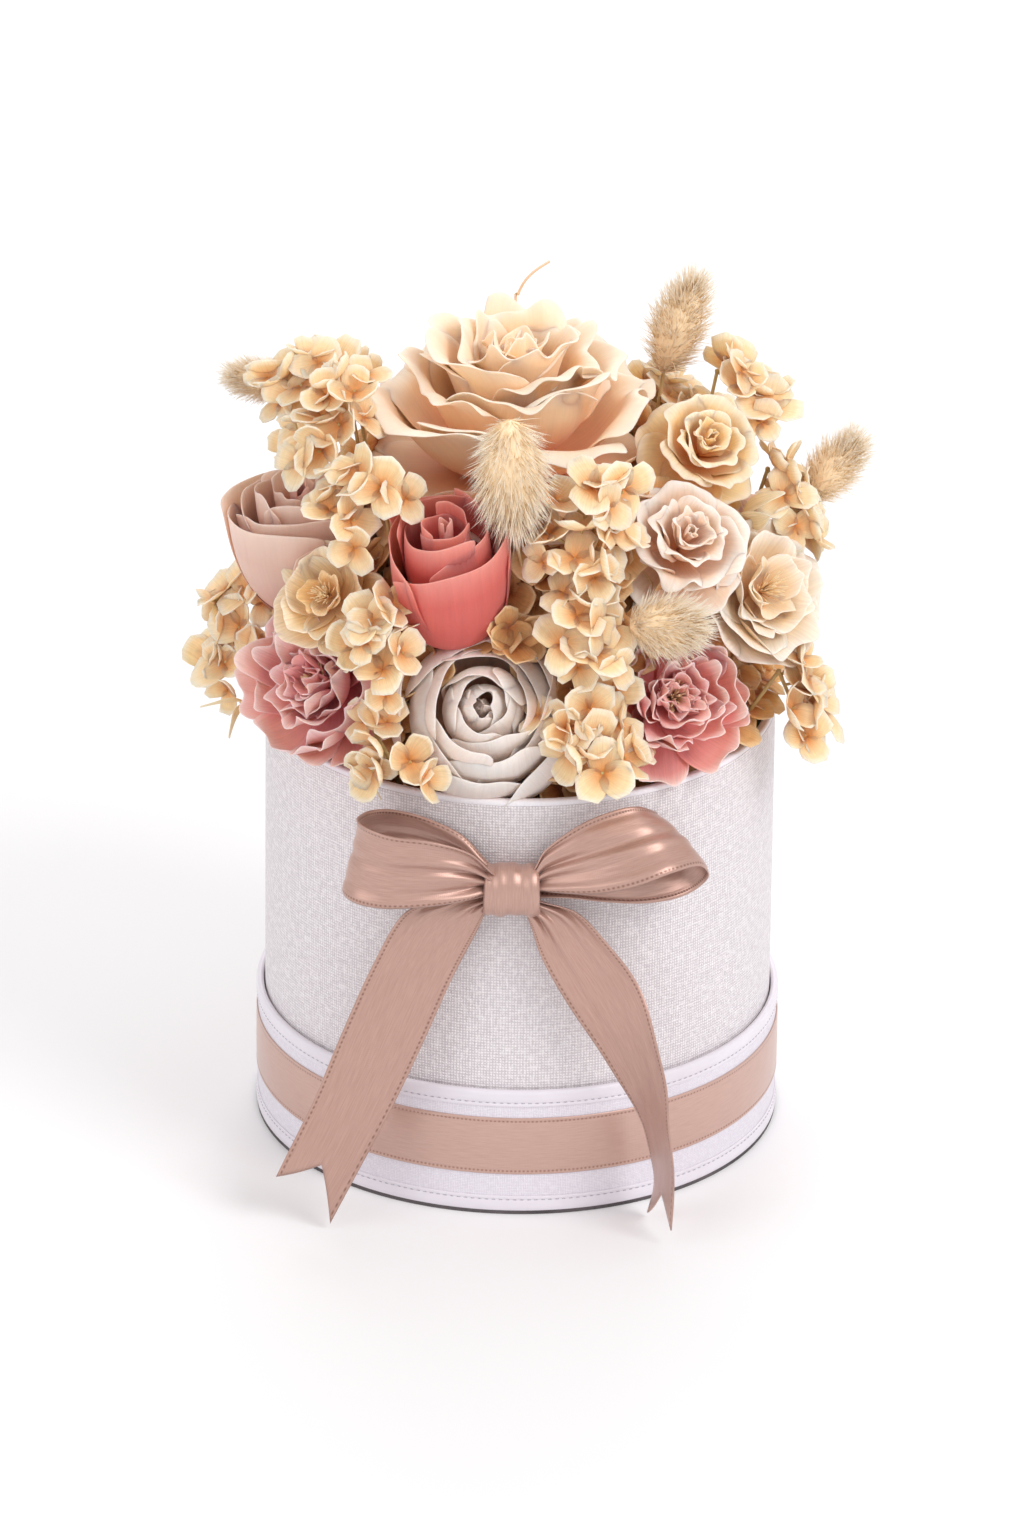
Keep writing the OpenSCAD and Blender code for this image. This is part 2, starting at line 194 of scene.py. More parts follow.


# Preserved petal: thin, soft and matt, deeper in colour at its base, paler and slightly dried at its
# edge, with fine veins that fan from the base. The deeper colour at the base is partly the petal's own
# and partly painted shade, for the shadowed depths between petals. The attribute holds across, along and
# tone, and a tone above one marks the petals near the middle of a bloom
def petal_skin(name, deep, body, edge, inner, vein, dried=0.12):
    made, tree, shader = start(name, Roughness=0.6, Subsurface_Weight=0.4, Sheen_Weight=0.18,
                               Subsurface_Radius=(1.0, 0.6, 0.4), Subsurface_Scale=0.004,
                               Sheen_Roughness=0.5, Specular_IOR_Level=0.35)
    petal = add(tree, "Attribute", {}, attribute_name="petal").outputs["Vector"]
    split = add(tree, "SeparateXYZ", {0: petal})
    low = add(tree, "MapRange", {"Value": split.outputs["Y"], "From Min": 0.05, "From Max": 0.6})
    high = add(tree, "MapRange", {"Value": split.outputs["Y"], "From Min": 0.7, "From Max": 1.0})
    core = add(tree, "MapRange", {"Value": split.outputs["Z"], "From Min": 1.0, "From Max": 2.0})
    place = add(tree, "TexCoord", {}).outputs["Object"]
    cloud = add(tree, "TexNoise", {"Vector": place, "Scale": 160.0, "Detail": 4.0, "Roughness": 0.65})
    drawn = add(tree, "Mapping", {"Vector": petal, "Scale": (26, 1.4, 8)})
    fan = add(tree, "TexNoise", {"Vector": drawn, "Scale": 1.0, "Detail": 3.0, "Roughness": 0.7,
                                 "Distortion": 0.25})
    veins = add(tree, "MapRange", {"Value": fan, "From Min": 0.38, "From Max": 0.62,
                                   "To Min": 1 - vein, "To Max": 1 + 0.25 * vein})
    tone = add(tree, "MapRange", {"Value": split.outputs["Z"], "To Min": 0.88, "To Max": 1.08})
    light = add(tree, "Math", {0: veins, 1: tone}, operation="MULTIPLY")
    light = add(tree, "Math", {0: light, 1: 0.4, 2: 0.62}, operation="MULTIPLY_ADD")
    shade = add(tree, "CombineColor", {0: light, 1: light, 2: light})
    spots = add(tree, "MapRange", {"Value": cloud, "From Min": 0.52, "From Max": 0.75, "To Max": dried})
    # Deeper colour at the petal's base: partly the petal's own colour, partly painted shade of the depths
    # between petals
    colour = add(tree, "Mix", {0: low, 6: linear(deep), 7: linear(body)}, **COLOURS)
    colour = add(tree, "Mix", {0: high, 6: colour, 7: linear(edge)}, **COLOURS)
    colour = add(tree, "Mix", {0: core, 6: colour, 7: linear(inner)}, **COLOURS)
    colour = add(tree, "Mix", {0: 1.0, 6: colour, 7: shade}, **TINT)
    colour = add(tree, "Mix", {0: spots, 6: colour, 7: linear(deep)}, **COLOURS)
    relief = add(tree, "Math", {0: fan, 1: cloud}, operation="ADD")
    bump = add(tree, "Bump", {"Height": relief, "Strength": 0.45, "Distance": 0.35 * MM})
    feed(tree, shader, {"Base Color": colour, "Normal": bump})
    return made


# Dried bunny tail grass: silky awns, straw coloured at the root and nearly white at the tip
def awn_straw():
    made, tree, shader = start("dried_grass_awn", Roughness=0.5, Specular_IOR_Level=0.4, Sheen_Weight=0.2)
    petal = add(tree, "Attribute", {}, attribute_name="petal").outputs["Vector"]
    split = add(tree, "SeparateXYZ", {0: petal})
    along = add(tree, "Mix", {0: split.outputs["Y"], 6: linear("#FFDDA6"), 7: linear("#FFF9EE")}, **COLOURS)
    tone = add(tree, "MapRange", {"Value": split.outputs["Z"], "To Min": 0.94, "To Max": 1.05})
    shade = add(tree, "CombineColor", {0: tone, 1: tone, 2: tone})
    feed(tree, shader, {"Base Color": add(tree, "Mix", {0: 1.0, 6: along, 7: shade}, **TINT)})
    return made


# Plant stems, wires and plain boards share one fibrous finish, each with its own colours and fibre size
def fibrous(name, dark, pale, grain, rough=0.7, depth=0.1, stretch=(1, 1, 0.2)):
    made, tree, shader = start(name, Roughness=rough)
    place = add(tree, "TexCoord", {}).outputs["Object"]
    drawn = add(tree, "Mapping", {"Vector": place, "Scale": stretch})
    fibre = add(tree, "TexNoise", {"Vector": drawn, "Scale": 1 / (grain * MM), "Detail": 4.0,
                                   "Roughness": 0.65})
    cloud = add(tree, "TexNoise", {"Vector": place, "Scale": 60.0, "Detail": 2.0})
    both = add(tree, "Math", {0: fibre, 1: 0.6, 2: cloud}, operation="MULTIPLY_ADD")
    amount = add(tree, "MapRange", {"Value": both, "From Min": 0.55, "From Max": 1.05})
    colour = add(tree, "Mix", {0: amount, 6: linear(dark), 7: linear(pale)}, **COLOURS)
    bump = add(tree, "Bump", {"Height": fibre, "Strength": 0.6, "Distance": depth * MM})
    feed(tree, shader, {"Base Color": colour, "Normal": bump})
    return made


# Dry phenolic floral foam: dusty and full of small open pores
def floral_foam():
    made, tree, shader = start("dry_floral_foam", Roughness=0.95)
    place = add(tree, "TexCoord", {}).outputs["Object"]
    pores = add(tree, "TexVoronoi", {"Vector": place, "Scale": 900.0})
    cloud = add(tree, "TexNoise", {"Vector": place, "Scale": 120.0, "Detail": 3.0})
    # The pores are painted dark: painted shade inside the open cells
    dark = add(tree, "MapRange", {"Value": pores, "From Min": 0.35, "From Max": 0.1, "To Max": 0.6})
    colour = add(tree, "Mix", {0: cloud, 6: linear("#4E5A43"), 7: linear("#78836A")}, **COLOURS)
    colour = add(tree, "Mix", {0: dark, 6: colour, 7: linear("#333B2C")}, **COLOURS)
    bump = add(tree, "Bump", {"Height": pores, "Strength": 0.8, "Distance": 0.6 * MM})
    feed(tree, shader, {"Base Color": colour, "Normal": bump})
    return made


# Clear polypropylene cup: thin, faintly hazy, with drawn streaks
def clear_cup():
    made, tree, shader = start("clear_polypropylene", Roughness=0.18, IOR=1.49, Transmission_Weight=0.85)
    place = add(tree, "TexCoord", {}).outputs["Object"]
    drawn = add(tree, "Mapping", {"Vector": place, "Scale": (1, 1, 0.1)})
    haze = add(tree, "TexNoise", {"Vector": drawn, "Scale": 300.0, "Detail": 2.0})
    colour = add(tree, "Mix", {0: haze, 6: linear("#E8EEE6"), 7: linear("#F6F8F4")}, **COLOURS)
    bump = add(tree, "Bump", {"Height": haze, "Strength": 0.2, "Distance": 0.05 * MM})
    feed(tree, shader, {"Base Color": colour, "Normal": bump})
    return made


FINISH = {
    "embossed": linen_paper("pearl_linen_paper", BOX_R, 0.95, 0.36, "#F6F1F3", "#D0C8CC"),
    "lid_paper": linen_paper("pearl_lid_paper", LID_R, 0.55, 0.08, "#ECE7EF", "#D8D1DB"),
    "leatherette": leatherette(),
    "rim_paper": fibrous("white_coated_paper", "#E6E1E8", "#F5F2F6", 0.6, 0.5, 0.03),
    "thread": sewing_thread("pale_grey_polyester_thread", "#C9C3CE", "#9F99A6"),
    "band": satin("satin_band", "#BC978A", "#D4B2A6", "#A07769", SKIN_R, 23.75, 9.75),
    "bow": satin("satin_bow", "#A98275", "#CDA89B", "#8C675A"),
    "board": fibrous("grey_rolled_board", "#B3AFA9", "#D6D2CB", 1.2, 0.8, 0.15, (1, 1, 1)),
    # Painted contact shadow: a dark ring under the lid's edge, coloured as dark board
    "painted_contact_shadow": fibrous("painted_contact_shadow_ring", "#4A4446", "#686062", 0.8, 0.9, 0.1, (1, 1, 1)),
    "lining": fibrous("matt_lining_paper", "#DDD8DC", "#F0ECEE", 0.8, 0.75, 0.05, (1, 1, 1)),
    "foam": floral_foam(),
    "cup": clear_cup(),
    "wire": fibrous("florist_taped_wire", "#6F7D52", "#9AA477", 1.0, 0.7, 0.12),
    "stalk": fibrous("dried_grass_stalk", "#B8975F", "#DDC594", 0.8, 0.6, 0.08),
    "stem": fibrous("hydrangea_stem", "#A98F55", "#D3BE86", 0.8, 0.65, 0.1),
    "leaf": petal_skin("dried_leaf", "#DDB27C", "#F5DCB2", "#FBECCD", "#F0D6AC", 0.4, 0.2),
    "awn": awn_straw(),
    "peach": petal_skin("preserved_peach_petal", "#F28C48", "#FFD3AA", "#FFE9D2", "#FFDABA", 0.10, 0.05),
    "coral": petal_skin("preserved_coral_petal", "#C4362F", "#DE625B", "#EC8E84", "#F9C2B8", 0.12, 0.08),
    "pearl": petal_skin("preserved_pearl_petal", "#F2B490", "#FFE2D2", "#FFF2E8", "#FFE6D8", 0.12, 0.05),
    "pink": petal_skin("preserved_pink_petal", "#E46C72", "#FBACAA", "#FFDAD4", "#F2959A", 0.22),
    "rose_pink": petal_skin("preserved_rose_pink_petal", "#EC6C6C", "#FFA8A4", "#FFDCD4", "#FFC2BC", 0.22),
    "mauve": petal_skin("preserved_mauve_petal", "#C77F72", "#E9B7A6", "#F1CDBD", "#DDA196", 0.08, 0.05),
    "blush": petal_skin("preserved_blush_petal", "#F0A06E", "#FFDCC2", "#FFF0E2", "#FBD0B2", 0.16, 0.06),
    "apricot": petal_skin("preserved_apricot_petal", "#F7984C", "#FFD69E", "#FFEACC", "#FFCC88", 0.2, 0.08),
    "cream": petal_skin("preserved_cream_petal", "#F2AC6E", "#FFE0BC", "#FFF0DE", "#FAD6A8", 0.25, 0.08),
    "straw": petal_skin("preserved_straw_petal", "#D2874A", "#FAD09C", "#FFE6C6", "#EDB67C", 0.4, 0.2),
    "floret": petal_skin("preserved_hydrangea_floret", "#E68A42", "#FFD8A8", "#FFECD0", "#F6C28A", 0.25, 0.12),
    # The floret finish made darker: painted shade for the florets packed under and between the blooms
    "under": petal_skin("painted_shade_hydrangea_floret", "#BC6630", "#E8AA70", "#F4C697", "#CC8850", 0.3, 0.3),
    "stamen": petal_skin("dried_stamen", "#C07A44", "#F3C288", "#FADCA8", "#E8BC88", 0.4, 0.2),
    "tendril": fibrous("dried_peach_tendril", "#EFC9A0", "#FCE6CC", 1.0, 0.6, 0.05),
}


# ---------------------------------------------------------------- shaping tools

def clear():
    bpy.ops.object.select_all(action="DESELECT")


def only(piece):
    clear()
    piece.select_set(True)
    bpy.context.view_layer.objects.active = piece


def flat_sheet(name, across, along):
    """A flat grid, two wide and two long, that a petal or a ribbon is shaped from."""
    clear()
    bpy.ops.mesh.primitive_grid_add(x_subdivisions=across, y_subdivisions=along, size=2)
    sheet = bpy.context.object
    sheet.name = name
    return sheet


def corners(piece):
    points = np.zeros(len(piece.data.vertices) * 3)
    piece.data.vertices.foreach_get("co", points)
    return points.reshape(-1, 3)


def move_to(piece, points):
    piece.data.vertices.foreach_set("co", (np.asarray(points) * MM).ravel())
    piece.data.update()


def mark(piece, name, values):
    layer = piece.data.attributes.get(name) or piece.data.attributes.new(name, "FLOAT_VECTOR", "POINT")
    layer.data.foreach_set("vector", np.asarray(values, np.float32).ravel())


def own_copy(piece, name):
    copy = bpy.data.objects.new(name, piece.data.copy())
    bpy.context.scene.collection.objects.link(copy)
    return copy


def join_all(pieces, name):
    clear()
    for piece in pieces:
        piece.select_set(True)
    bpy.context.view_layer.objects.active = pieces[0]
    if len(pieces) > 1:
        bpy.ops.object.join()
    whole = bpy.context.view_layer.objects.active
    whole.name = name
    whole.data.name = name
    return whole


def discard(*pieces):
    for piece in pieces:
        bpy.data.meshes.remove(piece.data)


def thicken(piece, thickness, levels=0):
    only(piece)
    wall = piece.modifiers.new("thickness", "SOLIDIFY")
    wall.thickness = thickness * MM
    wall.offset = 0.0
    bpy.ops.object.modifier_apply(modifier=wall.name)
    if levels:
        smooth = piece.modifiers.new("smooth", "SUBSURF")
        smooth.levels = smooth.render_levels = levels
        bpy.ops.object.modifier_apply(modifier=smooth.name)
    bpy.ops.object.shade_smooth()


def finish_piece(piece, finish, body, slot, *nodes):
    piece.data.materials.clear()
    piece.data.materials.append(FINISH[finish])
    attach(piece, body)
    if nodes:
        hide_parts(*nodes)


def lathe(name, outline, steps=180):
    """Turns a closed outline of (radius, height) points into a ring round the upright axis."""
    clear()
    bpy.ops.mesh.primitive_circle_add(vertices=len(outline), radius=0.01)
    ring = bpy.context.object
    ring.name = ring.data.name = name
    move_to(ring, [(r, 0, z) for r, z in outline])
    bpy.ops.object.mode_set(mode="EDIT")
    bpy.ops.mesh.select_all(action="SELECT")
    bpy.ops.mesh.spin(steps=steps, angle=2 * math.pi, center=(0, 0, 0), axis=(0, 0, 1))
    bpy.ops.mesh.select_all(action="SELECT")
    bpy.ops.mesh.remove_doubles(threshold=1e-6)
    bpy.ops.mesh.normals_make_consistent(inside=False)
    bpy.ops.object.mode_set(mode="OBJECT")
    bpy.ops.object.shade_smooth_by_angle(angle=math.radians(50))
    return ring


def rounded(points, radius, cuts=3):
    """Rounds the corners of an outline."""
    made = []
    points = [np.array(p, float) for p in points]
    for i, here in enumerate(points):
        back, ahead = points[i - 1] - here, points[(i + 1) % len(points)] - here
        reach = min(radius, np.linalg.norm(back) * 0.45, np.linalg.norm(ahead) * 0.45)
        first = here + back / np.linalg.norm(back) * reach
        last = here + ahead / np.linalg.norm(ahead) * reach
        for k in range(cuts + 1):
            t = k / cuts
            made.append(tuple((1 - t) ** 2 * first + 2 * t * (1 - t) * here + t * t * last))
    return made


def stamped(name, templates, places, tones=None):
    """Copies the templates to the given places, in turn, as one mesh."""
    vertices, faces, marks, count = [], [], [], 0
    shapes = []
    for template in templates:
        rings = [tuple(p.vertices) for p in template.data.polygons]
        values = np.zeros(len(template.data.vertices) * 3, np.float32)
        if "petal" in template.data.attributes:
            template.data.attributes["petal"].data.foreach_get("vector", values)
        shapes.append((corners(template), rings, values.reshape(-1, 3)))
    for i, place in enumerate(places):
        points, rings, values = shapes[i % len(shapes)]
        turn = np.array(place)
        vertices.append(points @ turn[:3, :3].T + turn[:3, 3] * MM)
        faces.extend(tuple(v + count for v in ring) for ring in rings)
        values = values.copy()
        if tones is not None:
            values[:, 2] = tones[i]
        marks.append(values)
        count += len(points)
    mesh = bpy.data.meshes.new(name)
    mesh.from_pydata(np.vstack(vertices).tolist(), [], faces)
    mesh.update()
    piece = bpy.data.objects.new(name, mesh)
    bpy.context.scene.collection.objects.link(piece)
    mark(piece, "petal", np.vstack(marks))
    only(piece)
    bpy.ops.object.shade_smooth()
    return piece


def through(points, t):
    """A smooth curve through the points, for t from 0 to 1."""
    points = np.asarray(points, float)
    place = np.clip(np.asarray(t, float), 0, 1) * (len(points) - 1)
    index = np.minimum(place.astype(int), len(points) - 2)
    f = (place - index)[..., None]
    extended = np.vstack([2 * points[0] - points[1], points, 2 * points[-1] - points[-2]])
    a, b, c, d = (extended[index + k] for k in range(4))
    return 0.5 * (2 * b + (c - a) * f + (2 * a - 5 * b + 4 * c - d) * f ** 2
                  + (3 * b - a - 3 * c + d) * f ** 3)


def upright_to(direction, spin=0.0):
    """A turn that takes the Z axis to the direction."""
    return Vector(direction).to_track_quat("Z", "Y").to_matrix().to_4x4() @ Matrix.Rotation(spin, 4, "Z")


# ---------------------------------------------------------------- camera, floor and light

CAMERA_AT = (0.76, -3210.7, 1622.6)
camera_data = bpy.data.cameras.new("camera")
camera_data.lens = 264.2
camera_data.sensor_width = 36
camera_data.clip_end = 50
camera = bpy.data.objects.new("camera", camera_data)
bpy.context.scene.collection.objects.link(camera)
camera.matrix_world = (Matrix.Translation([c * MM for c in CAMERA_AT])
                       @ Matrix.Rotation(0.001, 4, "Z")
                       @ Matrix.Rotation(math.radians(90 - 25.15), 4, "X")
                       @ Matrix.Rotation(math.radians(0.64), 4, "Z"))
bpy.context.scene.camera = camera
bpy.context.scene.view_settings.view_transform = "Standard"

clear()
bpy.ops.mesh.primitive_plane_add(size=24)
floor = bpy.context.object
floor.name = floor.data.name = "studio_floor"
made, tree, shader = start("matt_white_paper_sweep", Roughness=0.85, Specular_IOR_Level=0.2)
mottle = add(tree, "TexNoise", {"Vector": add(tree, "TexCoord", {}).outputs["Object"], "Scale": 3.0})
colour = add(tree, "Mix", {0: mottle, 6: linear("#EEEDEE"), 7: linear("#F1F0F1")}, **COLOURS)
feed(tree, shader, {"Base Color": colour})
floor.data.materials.append(made)

world = bpy.data.worlds.new("studio")
world.use_nodes = True
world.node_tree.nodes["Background"].inputs["Color"].default_value = (1, 1, 1, 1)
world.node_tree.nodes["Background"].inputs["Strength"].default_value = 0.84
bpy.context.scene.world = world


def soft_light(name, place, size, power, aim=(0, 0, 140)):
    data = bpy.data.lights.new(name, "AREA")
    data.shape = "DISK"
    data.size = size
    data.energy = power
    light = bpy.data.objects.new(name, data)
    bpy.context.scene.collection.objects.link(light)
    way = Vector(place) - Vector(aim)
    light.matrix_world = Matrix.Translation(Vector(place) * MM) @ upright_to(way)


soft_light("key_light", (1000, -900, 1400), 0.9, 13)
soft_light("fill_light", (-1200, -1100, 900), 1.2, 4.5)
soft_light("back_light", (0, 1500, 1300), 1.2, 11, (0, 850, 0))


# ---------------------------------------------------------------- the lid and the box

STITCH_PITCH = 2.2


def stitches(name, radius, z):
    """A row of stitches round the lid."""
    clear()
    bpy.ops.mesh.primitive_uv_sphere_add(segments=6, ring_count=4, radius=1)
    stitch = bpy.context.object
    bpy.ops.transform.resize(value=(0.72 * MM, 0.16 * MM, 0.2 * MM))
    bpy.ops.object.transform_apply(location=False, rotation=False, scale=True)
    count = int(2 * math.pi * radius / STITCH_PITCH)
    places = []
    for i in range(count):
        angle = 2 * math.pi * i / count
        where = Vector((radius * math.sin(angle), -radius * math.cos(angle), z))
        places.append(Matrix.Translation(where) @ Matrix.Rotation(angle, 4, "Z"))
    row = stamped(name, [stitch], places)
    discard(stitch)
    finish_piece(row, "thread", "lid", "edge_trim")


# The folded edge of the lid: a soft round fold over the board, a crease, and a flat leg with a rounded end
top, leg = LID_H, LID_H - 5.4
upper = lathe("lid_upper_edge", rounded([
    (SKIN_R - 0.32, leg), (SKIN_R + 0.02, leg - 0.05), (SKIN_R + 0.14, leg + 0.5),
    (SKIN_R + 0.05, leg + 1.0), (SKIN_R - 0.08, leg + 1.25), (SKIN_R + 0.12, leg + 1.6),
    (SKIN_R + 0.24, leg + 2.6), (SKIN_R + 0.2, top - 1.2), (SKIN_R - 0.1, top - 0.3),
    (SKIN_R - 1.0, top + 0.08), (SKIN_R - 1.9, top - 0.25), (SKIN_R - 2.28, top - 1.0),
    (SKIN_R - 2.3, top - 4), (SKIN_R - 2.0, top - 4), (SKIN_R - 2.0, top - 0.5),
    (SKIN_R - 0.32, top - 0.5)],
    0.3, 2))
finish_piece(upper, "leatherette", "lid", "edge_trim", "lid_upper_trim")
stitches("lid_upper_stitches", SKIN_R + 0.02, leg + 1.25)

lower_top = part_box("lid_lower_trim")[1].z / MM
lower = lathe("lid_lower_edge", rounded([
    (SKIN_R - 0.28, 1.25), (SKIN_R + 0.02, 1.25), (SKIN_R + 0.16, 1.7), (SKIN_R + 0.24, 2.8),
    (SKIN_R + 0.12, lower_top - 1.6), (SKIN_R - 0.08, lower_top - 1.25), (SKIN_R + 0.05, lower_top - 1.0),
    (SKIN_R + 0.14, lower_top - 0.5), (SKIN_R + 0.02, lower_top + 0.05), (SKIN_R - 0.32, lower_top),
    (SKIN_R - 0.3, 2.2)], 0.2, 2))
finish_piece(lower, "leatherette", "lid", "edge_trim", "lid_lower_trim")
# A dark ring at the foot of the lid, below where the leatherette stops: a painted contact shadow along the
# floor, coloured as dark board
base = lathe("lid_contact_shadow_ring", [
    (SKIN_R - 0.28, 0.02), (SKIN_R - 0.04, 0.02), (SKIN_R - 0.04, 1.3), (SKIN_R - 0.28, 1.3)])
finish_piece(base, "painted_contact_shadow", "lid", "board")
stitches("lid_lower_stitches", SKIN_R + 0.02, lower_top - 1.25)

band_low, band_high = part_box("lid_ribbon")
z0, z1 = band_low.z / MM, band_high.z / MM
band_in, band_out = LID_R + 0.02, band_high.x / MM
band = lathe("satin_lid_band", rounded([
    (band_in, z0), (band_out - 0.1, z0 - 0.05), (band_out + 0.05, z0 + 0.5), (band_out, z0 + 1.0),
    (band_out - 0.1, z0 + 1.35), (band_out + 0.02, z0 + 1.8), (band_out + 0.08, (z0 + z1) / 2),
    (band_out + 0.02, z1 - 1.8), (band_out - 0.1, z1 - 1.35), (band_out, z1 - 1.0), (band_out + 0.05, z1 - 0.5),
    (band_out - 0.1, z1 + 0.05), (band_in, z1)], 0.15, 1), 200)
finish_piece(band, "band", "lid", "satin_ribbon", "lid_ribbon")

rim_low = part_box("rim_trim")[0].z / MM
rim_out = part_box("rim_trim")[1].x / MM
rim = lathe("box_rim_edge", rounded([
    (rim_out - 0.35, rim_low), (rim_out, rim_low), (rim_out + 0.12, rim_low + 0.6),
    (rim_out + 0.05, RIM_Z - 0.5), (rim_out - 0.4, RIM_Z - 0.05), (rim_out - 1.2, RIM_Z),
    (rim_out - 2.2, RIM_Z - 0.1), (rim_out - 2.6, RIM_Z - 0.5), (rim_out - 2.62, RIM_Z - 3),
    (rim_out - 2.4, RIM_Z - 3), (rim_out - 2.3, RIM_Z - 0.4), (rim_out - 0.35, RIM_Z - 0.4)],
    0.25, 2))
finish_piece(rim, "rim_paper", "box", "rim_paper", "rim_trim")


# ---------------------------------------------------------------- the satin bow

KNOT = (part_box("bow_knot")[0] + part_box("bow_knot")[1]) / 2 / MM
RIBBON = 25.0
SATIN = 0.42
SHEET = flat_sheet("ribbon_blank", 28, 96)
blank = corners(SHEET)


def ribbon(name, edges, length, pleats, node, seed, notch=0.0):
    """A ribbon between two edges, given as pairs of points from the knot's middle. Its pleats fade away
    from the gathers, which stand at its ends as pleats gives them: (depth at start, depth at end)."""
    left, right = zip(*edges)
    rng = np.random.default_rng(seed)
    phase = rng.uniform(0, 2 * math.pi, 4)
    piece = own_copy(SHEET, name)
    s, t = blank[:, 0], (blank[:, 1] + 1) / 2
    t = t * (1 - notch * (1 - np.abs(s)))

    def surface(s, t):
        a, b = through(left, t), through(right, t)
        return a + (b - a) * ((s + 1) / 2)[:, None]

    step = 1e-3
    over = surface(s + step, t) - surface(s - step, t)
    down = surface(s, np.minimum(t + step, 1)) - surface(s, np.maximum(t - step, 0))
    out = np.cross(over, down)
    out /= np.maximum(np.linalg.norm(out, axis=1), 1e-9)[:, None]
    gather = pleats[0] * np.exp(-t / 0.16) + pleats[1] * np.exp(-(1 - t) / 0.16)
    folds = np.cos(3.2 * math.pi * s + phase[0]) + 0.5 * np.cos(5.1 * math.pi * s + phase[1])
    soft = 1.2 * np.sin(2 * math.pi * (1.3 * t + 0.25 * s) + phase[2]) * np.sin(math.pi * t)
    crimp = 0.35 * np.sin(2 * math.pi * (4.2 * t - 0.5 * s) + phase[3]) * np.abs(s) ** 3
    move_to(piece, surface(s, t) + out * (gather * folds + soft + crimp)[:, None] + np.array(KNOT))
    mark(piece, "cloth", np.stack([s * RIBBON / 2, t * length, np.zeros_like(s)], 1))
    thicken(piece, SATIN)
    finish_piece(piece, "bow", "box", "satin_ribbon", node)


LEFT_LOOP = [
    ((-4, -2, 4), (-4, -2, -3)), ((-7.2, -5, 8), (-8, -4.5, 0.6)),
    ((-14, -9, 16.4), (-14.4, -8.5, -0.6)), ((-24.5, -12, 21), (-25, -12, -1.6)),
    ((-37, -12.5, 22.6), (-37.5, -13, -2)), ((-45, -9, 23.9), (-46.5, -10, -1.6)),
    ((-48.5, -3.5, 24.2), (-50.8, -4.5, -1)), ((-47.2, 2.5, 23.4), (-49.8, 0.5, -0.6)),
    ((-43, 6.5, 22.6), (-43.8, 5.5, -1)), ((-36, 7.5, 22), (-36.5, 6.5, -1.2)),
    ((-27, 5.5, 20.4), (-28, 4.5, -0.6)), ((-16.8, 2, 16.4), (-17, 1.5, 1.2)),
    ((-9.5, -0.5, 10), (-9.8, -0.8, 1.8)), ((-4, -0.5, 4.5), (-4, -0.5, -2))]
RIGHT_LOOP = [
    ((4, -2, 4), (4, -2, -3)), ((7.2, -3.5, 8), (7.6, -4.5, 0.8)),
    ((10.5, -3, 14.2), (12, -6.5, 1.2)), ((20.8, -1.5, 22), (25, -11, 3)),
    ((31, 1.5, 25.6), (38, -13, 6.6)), ((38.5, 4.5, 26), (49.5, -9.5, 9.6)),
    ((44, 9.5, 22.6), (57.5, -1, 8)), ((44, 14, 19.5), (60.5, 5, 2)),
    ((40.5, 15, 17.5), (57.4, 7.5, -3.4)), ((34, 12.5, 16.6), (50.5, 5, -5.8)),
    ((26.5, 8.5, 14.5), (40.1, 2.5, -6.4)), ((18.5, 4.5, 11.5), (28, 0.5, -5)),
    ((10.5, 1, 7.6), (16, -1.5, -2.6)), ((4, -0.5, 4.5), (4, -0.5, -2.5))]
LEFT_TAIL = [
    ((-5, -1.5, 0.5), (-3, -1.5, -3.5)), ((-10.7, -2.5, -1.2), (-6, -3, -5)),
    ((-22.1, -3, -3.7), (-8.3, -3.5, -7.8)), ((-33.4, -3.5, -8), (-11.5, -4.5, -15.6)),
    ((-42.8, -4.5, -25.2), (-18.2, -5.5, -29.6)), ((-52, -6, -48), (-27, -7, -51)),
    ((-61, -7.5, -71.5), (-38, -8.5, -76)), ((-72.3, -8.5, -97), (-55.4, -10, -112.4))]
RIGHT_TAIL = [
    ((2.5, -1.5, -3.5), (5, -1.5, 0.5)), ((4, -2.5, -6.5), (8.5, -2.5, -3)),
    ((6.3, -3.5, -12.4), (20, -3.5, -7)), ((9.6, -4.5, -22), (30, -4.5, -17.5)),
    ((18.4, -5.5, -38.6), (38.9, -6.5, -29.5)), ((28.8, -5, -56), (44.6, -12.5, -42.5)),
    ((37, -3, -72.5), (48.6, -17, -56.8)), ((42.6, -0.5, -86.8), (50, -18.5, -72)),
    ((45.4, 1, -100.2), (50.9, -19.5, -85.8)), ((43.4, 1, -113), (50.6, -19, -108.8))]

ribbon("satin_left_loop", LEFT_LOOP, 124, (2.6, 1.6), "bow_left_loop", 3)
ribbon("satin_right_loop", RIGHT_LOOP, 146, (2.6, 1.6), "bow_right_loop", 5)
ribbon("satin_left_tail", LEFT_TAIL, 128, (3.2, 0.0), "bow_left_tail", 8, notch=0.055)
ribbon("satin_right_tail", RIGHT_TAIL, 126, (3.2, 0.0), "bow_right_tail", 9, notch=0.06)

# Round the knot, from its upper back over the front to its lower back
KNOT_PATH = [(0, 4, 5.2), (0, 0.5, 7.6), (0, -4.2, 7.5), (0, -7.4, 4.4), (0, -8.4, 0), (0, -7.8, -4.4),
             (0, -4.6, -7.6), (0, 0.2, -7.9), (0, 4, -5.6)]


